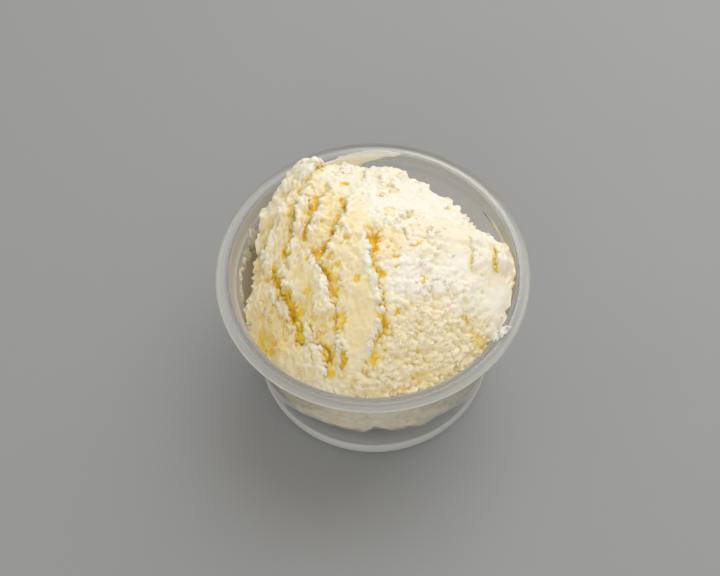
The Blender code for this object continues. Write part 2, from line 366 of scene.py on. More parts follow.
def new_geometry_tree(name: str, inputs: dict[str, tuple[str, Any]]) -> bpy.types.NodeTree:
    """Start a geometry tree that takes and gives a mesh.

    Args:
        name: the tree's name.
        inputs: its named inputs, each with its socket type and default.

    Returns:
        The tree, with its Group Input and Group Output nodes.
    """
    tree = bpy.data.node_groups.new(name, "GeometryNodeTree")
    tree.interface.new_socket("Geometry", in_out="INPUT", socket_type="NodeSocketGeometry")
    tree.interface.new_socket("Geometry", in_out="OUTPUT", socket_type="NodeSocketGeometry")
    for title, (kind, default) in inputs.items():
        socket = tree.interface.new_socket(title, in_out="INPUT", socket_type=kind)
        if default is not None:
            socket.default_value = default
    tree.nodes.new("NodeGroupInput")
    tree.nodes.new("NodeGroupOutput")
    return tree


def apply_tree(piece: bpy.types.Object, tree: bpy.types.NodeTree, values: dict[str, Any]) -> None:
    """Put a geometry tree on an object and set its inputs by identifier.

    Args:
        piece: the object.
        tree: the geometry tree.
        values: the inputs' values by their names.
    """
    modifier = piece.modifiers.new(tree.name, "NODES")
    modifier.node_group = tree
    for item in tree.interface.items_tree:
        if item.item_type == "SOCKET" and item.in_out == "INPUT" and item.name in values:
            modifier[item.identifier] = values[item.name]


# --- Finishes --------------------------------------------------------------------

def new_material(name: str) -> tuple[bpy.types.Material, bpy.types.NodeTree]:
    """Start an empty node material.

    Args:
        name: the material's name.

    Returns:
        The material and its tree.
    """
    material = bpy.data.materials.new(name)
    material.use_nodes = True
    material.node_tree.nodes.clear()
    return material, material.node_tree


@dataclass(frozen=True)
class CreamFinish:
    """Kaymak: clotted cream, torn while cold.

    Torn crests are near white and matt. The colour is read off the "open" attribute, so light and
    shade are painted into it. The less open a gully or pit, the darker and more golden it is
    painted. This stands in for shade and for light that goes in and out of the fat many times, and
    is partly the fat's own yellow. The open crests are painted lighter, partly as a painted
    highlight. The "butter" attribute tints the colour tan, partly the butterfat's own yellow and
    partly painted shade. Fine bubbles and grains leave a soft, slightly moist surface.
    """

    name: str = "clotted_cream"
    # Ramp colours from crest to pit: a painted highlight on the crests, then painted shade that
    # grows darker and golden into gullies and pits.
    crest: str = "#fff9ed"
    body: str = "#fdf3da"
    shade: str = "#f8eabf"
    gully: str = "#fae288"
    pit: str = "#fbdd4a"
    # Tan tint: partly the butterfat's own yellow, partly painted shade.
    butter: str = "#fdf0c8"
    mottle_size: float = 5.0
    mottle_sway: float = 0.22     # how far the mottle shifts the colour
    grain_size: float = 1.0
    grain_depth: float = 0.26
    crumb_size: float = 1.15
    crumb_depth: float = 0.38
    crumb_shade: float = 0.09     # how far the gaps between crumbs darken it
    roughness: float = 0.48
    glow: float = 0.15
    glow_depth: float = 1.0

    def material(self) -> bpy.types.Material:
        """Build the node material.

        Returns:
            The material.
        """
        material, tree = new_material(self.name)
        add = partial(add_node, tree)
        place = add("ShaderNodeTexCoord").outputs["Object"]
        opened, grainy, butter = (
            add("ShaderNodeAttribute", {"attribute_name": layer}).outputs["Fac"]
            for layer in ("open", "grainy", "butter"))
        mottle = add("ShaderNodeTexNoise", {"Scale": per_mm(self.mottle_size), "Detail": 4.0,
                                            "Roughness": 0.6}, {"Vector": place})
        sway = add("ShaderNodeMath", {"operation": "MULTIPLY_ADD", 1: self.mottle_sway,
                                      2: -self.mottle_sway / 2}, {0: mottle})
        # Painted shade: the colour darkens in the gaps between crumbs.
        crumb = add("ShaderNodeTexVoronoi", {"Scale": per_mm(self.crumb_size)}, {"Vector": place})
        gap = add("ShaderNodeMath", {"operation": "MULTIPLY"}, {0: crumb, 1: grainy})
        shaded = add("ShaderNodeMath", {"operation": "MULTIPLY_ADD", 1: -self.crumb_shade},
                     {0: gap, 2: sway})
        # Painted light and shade: the ramp turns openness into colour, lighter on open crests,
        # darker and golden deep in gullies and pits.
        level = add("ShaderNodeMath", {"operation": "ADD"}, {0: opened, 1: shaded})
        colour = add("ShaderNodeValToRGB",
                     {"stops": [(0.24, self.pit), (0.38, self.gully), (0.50, self.shade),
                                (0.73, self.body), (0.95, self.crest)]}, {"Fac": level})
        # Tan tint: partly the butterfat's own yellow, partly painted shade on faces turned from
        # the key lamp and on the side seen through the wall.
        tanned = add("ShaderNodeMix",
                     {"data_type": "RGBA", "blend_type": "MULTIPLY", 7: linear(self.butter)},
                     {0: butter, 6: colour})
        grain = add("ShaderNodeTexNoise", {"Scale": per_mm(self.grain_size), "Detail": 4.0,
                                           "Roughness": 0.62}, {"Vector": place})
        height = add("ShaderNodeMath", {"operation": "MULTIPLY"}, {0: grain, 1: grainy})
        lumps = add("ShaderNodeBump", {"Strength": 0.3, "Distance": self.crumb_depth * MM,
                                       "invert": True}, {"Height": gap})
        bump = add("ShaderNodeBump", {"Strength": 0.4, "Distance": self.grain_depth * MM},
                   {"Height": height, "Normal": lumps})
        gloss = add("ShaderNodeMapRange",
                    {"From Min": 0.3, "From Max": 0.7, "To Min": self.roughness - 0.10,
                     "To Max": self.roughness + 0.12}, {"Value": grain})
        shader = add("ShaderNodeBsdfPrincipled",
                     {"IOR": 1.45, "Subsurface Weight": self.glow,
                      "Subsurface Radius": (1.0, 1.0, 0.92),
                      "Subsurface Scale": self.glow_depth * MM, "Specular IOR Level": 0.4},
                     {"Base Color": tanned.outputs[2], "Roughness": gloss, "Normal": bump})
        add("ShaderNodeOutputMaterial", None, {"Surface": shader})
        return material


@dataclass(frozen=True)
class PlasticFinish:
    """Polypropylene, thermoformed: clear in its thin wall, milky in its rim and heel.

    The "milk" attribute says how milky a place is, from 0 to 1, and "film" where a thin film of
    cream is left on the wall. The heel's light tint is partly a painted reflection, and the
    darkest tint, at the top of the range, is a painted shadow under the rim's bead.
    """

    name: str = "clear_polypropylene"
    tint: str = "#f9f9f8"
    rim_tint: str = "#dadad7"
    # The heel's tint is partly the thick plastic's haze, partly a painted reflection; the next,
    # darkest tint is a painted shadow under the rim's bead.
    heel_haze_and_painted_reflection: str = "#dededa"
    hem_painted_shadow: str = "#8f8c84"
    film_tint: str = "#ece2cb"
    lamp_tint: str = "#f5f6f5"
    clearness: float = 0.985
    milky_clearness: float = 0.12
    milky_from: float = 0.2       # how much milk gives the rim's tint and full roughness
    roughness: float = 0.03
    milky_roughness: float = 0.55
    index: float = 1.49
    flow_size: float = 9.0
    flow_depth: float = 0.05

    def material(self) -> bpy.types.Material:
        """Build the node material.

        Returns:
            The material.
        """
        material, tree = new_material(self.name)
        add = partial(add_node, tree)
        place = add("ShaderNodeTexCoord").outputs["Object"]
        milk, film = (add("ShaderNodeAttribute", {"attribute_name": layer}).outputs["Fac"]
                      for layer in ("milk", "film"))
        stretch = add("ShaderNodeMapping", {"Scale": (1.0, 1.0, 0.25)}, {"Vector": place})
        flow = add("ShaderNodeTexNoise", {"Scale": per_mm(self.flow_size), "Detail": 2.0},
                   {"Vector": stretch})
        bump = add("ShaderNodeBump", {"Strength": 0.3, "Distance": self.flow_depth * MM},
                   {"Height": flow})
        # Milky tints: the heel's light grey is partly a painted reflection, and the darkest tint
        # is a painted shadow under the bead.
        clouded = add("ShaderNodeValToRGB",
                      {"stops": [(0.0, self.tint), (self.milky_from, self.rim_tint),
                                 (0.85, self.heel_haze_and_painted_reflection), (1.0, self.hem_painted_shadow)]}, {"Fac": milk})
        coated = add("ShaderNodeMix", {"data_type": "RGBA", 7: linear(self.film_tint)},
                     {0: film, 6: clouded})
        gloss = add("ShaderNodeMapRange",
                    {"From Max": self.milky_from, "To Min": self.roughness,
                     "To Max": self.milky_roughness}, {"Value": milk})
        clear = add("ShaderNodeMapRange",
                    {"To Min": self.clearness, "To Max": self.milky_clearness}, {"Value": milk})
        shader = add("ShaderNodeBsdfPrincipled", {"IOR": self.index},
                     {"Base Color": coated.outputs[2], "Roughness": gloss,
                      "Transmission Weight": clear, "Normal": bump})
        through = add("ShaderNodeBsdfTransparent", {"Color": linear(self.lamp_tint)})
        ray = add("ShaderNodeLightPath")
        mixed = add("ShaderNodeMixShader", None,
                    {0: ray.outputs["Is Shadow Ray"], 1: shader, 2: through})
        add("ShaderNodeOutputMaterial", None, {"Surface": mixed})
        return material


@dataclass(frozen=True)
class FloorFinish:
    """A matt painted board: pale grey, with no pattern that shows."""

    name: str = "pale_grey_paint"
    colour: str = "#9a9b9c"
    roughness: float = 0.65
    mottle_size: float = 60.0

    def material(self) -> bpy.types.Material:
        """Build the node material.

        Returns:
            The material.
        """
        material, tree = new_material(self.name)
        add = partial(add_node, tree)
        place = add("ShaderNodeTexCoord").outputs["Object"]
        mottle = add("ShaderNodeTexNoise", {"Scale": per_mm(self.mottle_size), "Detail": 3.0},
                     {"Vector": place})
        gloss = add("ShaderNodeMapRange",
                    {"To Min": self.roughness - 0.06, "To Max": self.roughness + 0.06},
                    {"Value": mottle})
        shader = add("ShaderNodeBsdfPrincipled", {"Base Color": linear(self.colour)},
                     {"Roughness": gloss})
        add("ShaderNodeOutputMaterial", None, {"Surface": shader})
        return material


# --- Tub -------------------------------------------------------------------------

@dataclass
class Tub:
    """The turned tub: foot ring, tapered wall, stacking shoulder, lid bead and inner lip."""

    finish: PlasticFinish = field(default_factory=PlasticFinish)
    height: float = 56.0
    rim_radius: float = 50.5
    base_radius: float = 38.9
    wall: float = 0.8
    taper: float = 0.1237         # how much wider the wall gets for each millimetre up
    shoulder_drop: float = 5.0
    shoulder_step: float = 1.25
    floor_level: float = 2.2
    floor_recess: float = 1.1
    foot_width: float = 3.0
    bead_width: float = 2.2
    bead_depth: float = 2.2
    lip_width: float = 1.2
    groove_depth: float = 0.6
    groove_inset: float = 2.9     # of its middle from the rim's edge
    heel_round: float = 1.5
    heel_top: float = 8.5
    heel_bulge: tuple[tuple[float, float], ...] = (  # how far it stands out, by height
        (9.6, 0.0), (8.7, 0.0), (7.8, 0.0), (6.9, 0.14), (6.0, 0.42), (5.0, 0.70),
        (4.0, 0.86), (3.0, 0.88), (2.0, 0.78), (1.2, 0.52), (0.5, 0.1), (0.15, -0.4))
    film_rows: tuple[float, ...] = (26.0, 29.0, 32.0, 36.0, 40.0, 44.0, 48.0)
    film_foot: float = 25.0       # above which the film is left
    film_azimuth: float = 172.0   # the stretch of wall with a film of cream on it
    film_spread: float = 28.0
    clean_azimuth: float = 78.0   # the back of the lip, which no cream touched
    clean_spread: float = 52.0
    segments: int = 240
    spindle: float = 20.0         # radius of the circle that the section is carried round

    @property
    def shoulder(self) -> float:
        """The shoulder's height above the table."""
        return self.height - self.shoulder_drop

    def inner_wall(self, height: np.ndarray | float) -> np.ndarray | float:
        """Return the inner wall's radius below the shoulder, at a height above the table."""
        return self.base_radius - self.wall - 0.1 + self.taper * (height - self.floor_level)

    @staticmethod
    def arc(centre: tuple[float, float], radius: float, start: float, end: float,
            steps: int) -> list[tuple[float, float]]:
        """Draw an arc in the section's plane.

        Args:
            centre: its middle's radius and height, in millimetres.
            radius: its radius.
            start: where it starts, in degrees.
            end: where it ends.
            steps: how many steps it takes.

        Returns:
            Its points, from start to end.
        """
        angles = [math.radians(start + (end - start) * k / steps) for k in range(steps + 1)]
        return [(centre[0] + radius * math.cos(a), centre[1] + radius * math.sin(a))
                for a in angles]

    def profile(self) -> list[tuple[float, float]]:
        """Draw the tub's section.

        Returns:
            Points as (radius, height), up its inside and down its outside.
        """
        top, shoulder, wall = self.height, self.shoulder, self.wall
        neck = self.inner_wall(shoulder)
        mouth = neck + self.shoulder_step
        bead = self.bead_width / 2.0
        bead_centre = self.rim_radius - bead
        lip_centre = mouth + self.lip_width * 0.75
        foot_inner = self.base_radius - self.foot_width

        inside = [(0.0, self.floor_level), (foot_inner - 1.0, self.floor_level)]
        inside += self.arc((self.inner_wall(self.floor_level) - 2.0, self.floor_level + 2.0),
                           2.0, -90, -8, 8)
        inside += [(self.inner_wall(z), z) for z in (5.0, 6.2, 7.4) + self.film_rows]
        inside += [(neck, shoulder - 0.5), (neck + 0.06, shoulder - 0.2),
                   (neck + 0.2, shoulder - 0.04), (mouth - 0.2, shoulder + 0.04),
                   (mouth - 0.06, shoulder + 0.2), (mouth, shoulder + 0.5),
                   (mouth + 0.2, top - 1.2)]
        rim = self.arc((lip_centre, top - 0.6), 0.5, 160, 20, 8)
        rim += [(lip_centre + 0.9, top - self.groove_depth),
                (bead_centre - bead, top - self.groove_depth)]
        rim += self.arc((bead_centre, top - bead), bead, 120, -60, 14)
        rim += [(bead_centre - 0.4, top - self.bead_depth + 0.2), (bead_centre - 1.2, top - 1.5),
                (lip_centre + 0.8, top - 1.5), (mouth + wall + 0.25, top - 2.6)]
        outside = [(mouth + wall, shoulder + 0.1), (neck + wall + 0.1, shoulder - 0.9)]
        outside += [(self.inner_wall(z) + wall + 0.1 + out, z) for z, out in self.heel_bulge]
        outside += [(self.base_radius - self.heel_round, 0.0), (foot_inner, 0.0),
                    (foot_inner - 1.0, self.floor_recess), (0.0, self.floor_recess)]
        return inside + rim + outside

    def turning_tree(self) -> bpy.types.NodeTree:
        """Build the tree that carries a section round a circle and closes it at the axis.

        Returns:
            The geometry tree.
        """
        tree = new_geometry_tree("turned_section", {
            "Segments": ("NodeSocketInt", 64), "Spindle": ("NodeSocketFloat", 0.01),
            "Finish": ("NodeSocketMaterial", None)})
        add = partial(add_node, tree)
        given, result = tree.nodes[0].outputs, tree.nodes[1]
        section = add("GeometryNodeMeshToCurve", None, {0: given["Geometry"]})
        circle = add("GeometryNodeCurvePrimitiveCircle", None,
                     {"Resolution": given["Segments"], "Radius": given["Spindle"]})
        swept = add("GeometryNodeCurveToMesh", None, {"Curve": circle, "Profile Curve": section})
        closed = add("GeometryNodeMergeByDistance", {"Distance": 1e-6}, {"Geometry": swept})
        real = add("GeometryNodeRealizeInstances", None, {"Geometry": closed})
        dressed = add("GeometryNodeSetMaterial", None,
                      {"Geometry": real, "Material": given["Finish"]})
        tree.links.new(dressed.outputs["Geometry"], result.inputs[0])
        return tree

    def milkiness(self, radius: np.ndarray, height: np.ndarray) -> np.ndarray:
        """Work out how milky the plastic is.

        Args:
            radius: the places' distances from the axis, in millimetres.
            height: their heights above the table.

        Returns:
            0 in the clear wall, up to 0.25 in the rim, less in its groove, 0.85 in the heel, whose
            light tint is partly the thick plastic's haze and partly a painted reflection, and 1
            along the rim's lower hem, whose dark tint is a painted shadow under the bead.
        """
        rim = smooth_step((height - self.height + self.bead_depth + 0.8) / 0.8)
        milk = rim * (0.14 + 0.11 * smooth_step((radius - 48.0) / 0.8))
        groove = np.exp(-((radius - self.rim_radius + self.groove_inset) / 0.65) ** 2)
        milk *= 1.0 - 0.85 * groove
        # The heel's milky band: partly the thick plastic's haze, partly a painted reflection of
        # the sky on its curve.
        heel = smooth_step(radius - self.base_radius + self.foot_width + 0.6)
        milk += 0.85 * heel * smooth_step((self.heel_top - height) / 1.3)
        # The rim's lower edge takes the darkest tint: a painted shadow under the bead.
        hem = smooth_step((self.height - 0.85 - height) / 0.3) * (radius > self.rim_radius - 0.6)
        return np.maximum(milk, hem)

    def film_of_cream(self, azimuth: np.ndarray, radius: np.ndarray,
                      height: np.ndarray) -> np.ndarray:
        """Work out where a film of cream is left: on one stretch of wall and on the lip.

        Args:
            azimuth: the places' azimuths, in radians.
            radius: their distances from the axis, in millimetres.
            height: their heights above the table.

        Returns:
            The film's strength, from 0 to 1.
        """
        away = (np.degrees(azimuth) % 360.0 - self.film_azimuth) / self.film_spread
        away = away + 0.5 * rough(WALL_RADIUS * azimuth, height, 6.0, 3, 401)
        film = smooth_step((1.0 - np.abs(away)) / 0.4)
        film *= smooth_step((height - self.film_foot) / 5.0)
        film *= smooth_step((self.shoulder - height) / 2.0)
        film *= radius < self.inner_wall(height) + 0.4
        turned = np.abs(turned_from(azimuth, self.clean_azimuth))
        lip = smooth_step((turned - self.clean_spread) / 14.0)
        lip *= np.abs(height - self.shoulder - 2.2) < 2.4
        lip *= radius < self.inner_wall(self.shoulder) + self.shoulder_step + 0.4
        return np.maximum(film, 0.6 * lip)

    def build(self) -> bpy.types.Object:
        """Turn the section and mark where the plastic is milky or filmed.

        Returns:
            The tub.
        """
        points = self.profile()
        mesh = bpy.data.meshes.new("tub_section")
        mesh.from_pydata([((r - self.spindle) * MM, -z * MM, 0.0) for r, z in points],
                         [(k, k + 1) for k in range(len(points) - 1)], [])
        material = self.finish.material()
        tub = show(mesh, "clear_tub", material)
        apply_tree(tub, self.turning_tree(), {"Segments": self.segments, "Finish": material,
                                              "Spindle": self.spindle * MM})
        settled(tub)
        tub.data.shade_smooth()
        tub.data.set_sharp_from_angle(angle=math.radians(50))
        places = np.empty(3 * len(tub.data.vertices))
        tub.data.vertices.foreach_get("co", places)
        x, y, z = places.reshape(-1, 3).T
        radius, height = np.hypot(x, y) / MM, z / MM
        film = self.film_of_cream(np.arctan2(y, x), radius, height)
        milk = np.maximum(self.milkiness(radius, height), 0.7 * film)
        paint(tub.data, {"milk": milk, "film": film})
        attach(tub, BODY)
        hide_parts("tub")
        return tub


# --- The heap's form ---------------------------------------------------------------
# Places and sizes in these tables are millimetres in plan, and turns are degrees.

class Station(NamedTuple):
    """The heap's edge at one azimuth: its radius and height over the rim."""

    azimuth: float
    radius: float
    rise: float


class Fold(NamedTuple):
    """A torn fold: the cream rises to its edge, then drops into a gully.

    route runs from the back to the front; side is +1 where the drop faces
    +X and -1 where it faces -X.
    """

    route: Route
    side: int
    lift: float
    run: float
    gully: float
    width: float


class Swell(NamedTuple):
    """A round lump on the heap, or a dip where its height is negative."""

    x: float
    y: float
    radius: float
    height: float


class Pit(NamedTuple):
    """A small torn hollow with steep sides, painted golden, partly the fat's yellow and partly
    painted shade: an oval, turned anticlockwise.
    """

    x: float
    y: float
    half_x: float
    half_y: float
    turn: float
    depth: float


class Texture(Enum):
    """How the cream broke at a place, into curds or along a smooth face, or how tan it is: partly
    its butterfat's yellow, partly painted shade.
    """

    CURDS = "curds"
    SMOOTH = "smooth"
    BUTTERY_AND_SHADED = "buttery_and_shaded"


class Patch(NamedTuple):
    """An oval stretch of the heap with one texture, turned anticlockwise."""

    x: float
    y: float
    half_x: float
    half_y: float
    turn: float
    amount: float


STATIONS = tuple(Station(*row) for row in (
    (0, 44.5, 1), (5, 44.1, 3.5), (10, 39.2, 4), (16, 36, 4.2), (25, 34, 4.5), (38, 34, 4.5),
    (48, 32.6, 4.5), (59, 34.2, 4.8), (66, 32.6, 5.2), (71, 35, 5.5), (81, 35.4, 5),
    (94, 37.2, 4.2), (106, 39.7, 4.2), (121, 43.2, 6.3), (131, 42.7, 4.8), (140, 42, 2.5),
    (149, 42.2, 0), (156, 39.8, -2.5), (165, 38.6, -4.5), (174, 38.4, -6), (183, 39.4, -7.5),
    (193, 42.2, -8.5), (202, 43.3, -8.5), (225, 43.4, -8), (260, 43.4, -7.5), (310, 43.6, -7.5),
    (325, 44.2, -6), (336, 44.8, -3.5), (350, 44.7, -1.5),
))

FOLDS = (
    Fold(((-24, 27), (-31, 17), (-34.5, 6), (-35.5, -3)), -1, 1.6, 5, 2.2, 2.5),
    Fold(((-19, 26.5), (-23, 18), (-25.3, 8), (-26.5, -2)), -1, 2.4, 4, 3.4, 2.4),
    Fold(((-14.5, 19), (-17.4, 11.5), (-20.5, 2)), -1, 2.6, 3.5, 4.0, 2.4),
    Fold(((-6.5, 19), (-9, 8), (-13.5, -1), (-16.5, -7.5)), -1, 2.6, 4, 4.2, 2.6),
    Fold(((-20.5, 2), (-18, -7), (-14.6, -14), (-13.2, -24)), 1, 2.2, 3.5, 3.4, 2.8),
    Fold(((-3, 7), (-1, -8), (1.6, -21), (0, -30), (-6, -38)), 1, 2.4, 5, 2.3, 2.4),
    Fold(((-31.5, 2), (-28.6, -7.6), (-25, -15.5), (-21.5, -27)), -1, 2.2, 6, 5.0, 3.6),
    Fold(((-34, -5), (-30, -15), (-25, -23), (-18.5, -30)), -1, 2.2, 3.5, 1.6, 3),
    Fold(((-23, -26), (-17, -30), (-15.3, -34), (-17, -38)), 1, 2.0, 4, 2.8, 2.6),
    Fold(((-11.5, -19), (-11.5, -27), (-13, -34)), -1, 1.6, 3, 2.8, 2.2),
    Fold(((29.5, 5), (31.2, -1.5), (31.5, -8)), -1, 0.9, 2, 1.0, 1.8),
    Fold(((38.6, 4), (39.0, -1), (38.8, -6)), -1, 0.8, 2, 1.9, 1.2),
    Fold(((-10.5, 49), (-14, 41.5), (-17.5, 34), (-23, 25)), 1, 2.6, 7, 1.8, 2.4),
)

SWELLS = tuple(Swell(*row) for row in (
    (-20, 36, 6, 1.0), (-21, -8, 7, 1.0), (-6, -10, 8, 1.0), (-22, -31, 5, 1.2),
    (-9, -34, 5, 1.6), (34.5, -3, 3.5, 2.2), (41, -1.5, 3.4, 3.4), (10, 24, 6, 1.5),
    (12, -37, 6, 1.0), (7, 31.5, 4.5, 1.8), (31.5, -22.5, 3.5, -1.5), (-35.5, -20, 6, -2.8),
    (-32.5, -12, 2.4, 1.2), (-31, -26, 2.6, 1.3), (0.6, 1.0, 2.0, -1.8),
    (-16.2, -27.5, 2.6, -1.4), (15, -36, 5, -1.4),
))

PITS = tuple(Pit(*row) for row in (
    (-31.2, -1.2, 1.2, 2.4, 10, 1.8), (-28.8, -7.8, 1.1, 2.8, 20, 1.6),
    (-26.2, -14.2, 1.4, 2.8, 25, 1.8), (-23.8, -19.2, 2.5, 3.6, 20, 2.6),
    (-22.8, -24.2, 1.5, 2.6, 10, 1.9), (-15.2, -31.8, 2.2, 2.2, 15, 1.8),
    (-10.5, -23.8, 1.8, 3.0, 0, 1.8), (-10.0, -34.2, 0.9, 1.9, -5, 1.4),
    (-1.0, -34.2, 1.2, 1.8, -35, 1.1), (1.8, -25.5, 1.1, 2.2, 45, 1.5),
    (0.0, -2.0, 1.5, 3.2, 5, 2.2), (1.2, -12.2, 2.6, 1.2, -10, 1.5),
    (6.5, -10.0, 1.1, 1.0, 0, 0.9), (15.5, -13.0, 0.8, 1.5, -15, 1.1),
    (6.5, -22.5, 0.8, 1.0, 0, 1.0), (-8.8, 24.2, 1.4, 1.6, -20, 1.5),
    (8.0, 20.0, 1.2, 0.8, -10, 1.0), (3.0, 17.5, 1.2, 0.8, -20, 0.9),
    (5.0, 9.5, 1.4, 2.8, -30, 0.5), (15.2, 10.0, 1.2, 1.5, 0, 0.5),
    (-20.5, -15.5, 0.8, 2.2, -5, 0.8), (19.8, -17.5, 1.3, 1.5, 20, 0.6),
    (-14.8, -3.2, 1.0, 1.8, -10, 1.5), (-13.0, -5.4, 0.9, 1.0, 0, 1.0),
    (-15.2, -10.0, 0.9, 2.2, 30, 1.5), (-11.8, -8.5, 0.8, 1.2, 0, 1.0),
    (-5.5, -14.2, 0.7, 1.8, -35, 0.9), (-21.0, -5.0, 0.9, 1.0, 0, 0.8),
    (-12.0, -16.5, 1.0, 1.2, 0, 1.2), (3.8, -40.8, 1.2, 0.9, 0, 0.6),
    (8.0, -40.8, 1.0, 0.9, 0, 0.6), (12.0, -37.8, 1.4, 1.0, 0, 0.6),
    (32.2, -25.8, 2.2, 2.2, 0, 0.8), (28.8, -21.8, 2.2, 1.2, 0, 0.5),
    (38.6, -2.5, 0.8, 3.0, 0, 0.4), (12.8, -2.6, 2.4, 0.7, 25, 0.8),
    (-34.8, -22.0, 2.2, 5.6, 28, 0.95), (15.0, -37.5, 2.6, 1.5, 10, 0.55),
    (20.5, -34.5, 2.0, 1.2, 20, 0.45), (7.0, -7.2, 1.6, 0.7, 30, 0.9),
    (30.4, -4.0, 0.9, 3.0, 0, 0.3),
))

PATCHES = {
    Texture.CURDS: (
        Patch(16, -25, 17, 15, 15, 1.0), Patch(6, -38, 16, 6, 10, 1.0),
        Patch(12, 2, 13, 14, 0, 0.6), Patch(14, 18, 13, 12, 0, 0.5), Patch(36, -24, 6, 8, 0, 0.5),
    ),
    Texture.SMOOTH: (
        Patch(-23, -13, 4.2, 11, 12, 0.6), Patch(-4.5, -24, 4.6, 10.5, -8, 0.65),
        Patch(-35, -18, 5, 12, 20, 0.4), Patch(-36.0, -21.5, 3.6, 8, 25, 0.9),
        Patch(-18.6, 0.5, 3.6, 6, 15, 0.8), Patch(28, -1, 4.0, 10, 0, 0.85),
        Patch(40, -14, 5, 8, 0, 0.85), Patch(35, -2.5, 3.8, 5, 0, 0.8),
        Patch(42, -1, 3.6, 5, 0, 0.95), Patch(-4, 10, 4, 9, 5, 0.5),
        Patch(12, 20, 14, 12, 0, 0.35),
    ),
    # Tan patches: partly the butterfat's yellow, partly painted shade on the heap's left, front
    # and hollows, which turn from the key lamp.
    Texture.BUTTERY_AND_SHADED: (
        Patch(-23, -14, 4.6, 12, 12, 1.0), Patch(-4, -24, 5.0, 11, -8, 0.9),
        Patch(-35, -20, 7, 13, 20, 1.0), Patch(-19, 1, 4, 8, 15, 0.8),
        Patch(-7, 4, 7, 9, 10, 0.6), Patch(4, -2, 6, 6, 0, 0.8),
        Patch(32.5, -26, 2.4, 2.6, 0, 0.6), Patch(20, 2, 12, 7, 25, 0.3),
        Patch(40, -14, 6, 10, 0, 0.1), Patch(-22, -4, 20, 32, 0, 0.7),
        Patch(12, -32, 26, 14, 10, 0.55),
    ),
}


def from_middle(oval: Pit | Patch, x: np.ndarray, y: np.ndarray) -> np.ndarray:
    """Measure how far places lie from the middle of a turned oval.

    Args:
        oval: the oval.
        x: places along X, in millimetres.
        y: places along Y.

    Returns:
        The distance, which is 1 on its outline.
    """
    turn = math.radians(oval.turn)
    off_x, off_y = x - oval.x, y - oval.y
    return np.hypot((off_x * math.cos(turn) + off_y * math.sin(turn)) / oval.half_x,
                    (off_y * math.cos(turn) - off_x * math.sin(turn)) / oval.half_y)


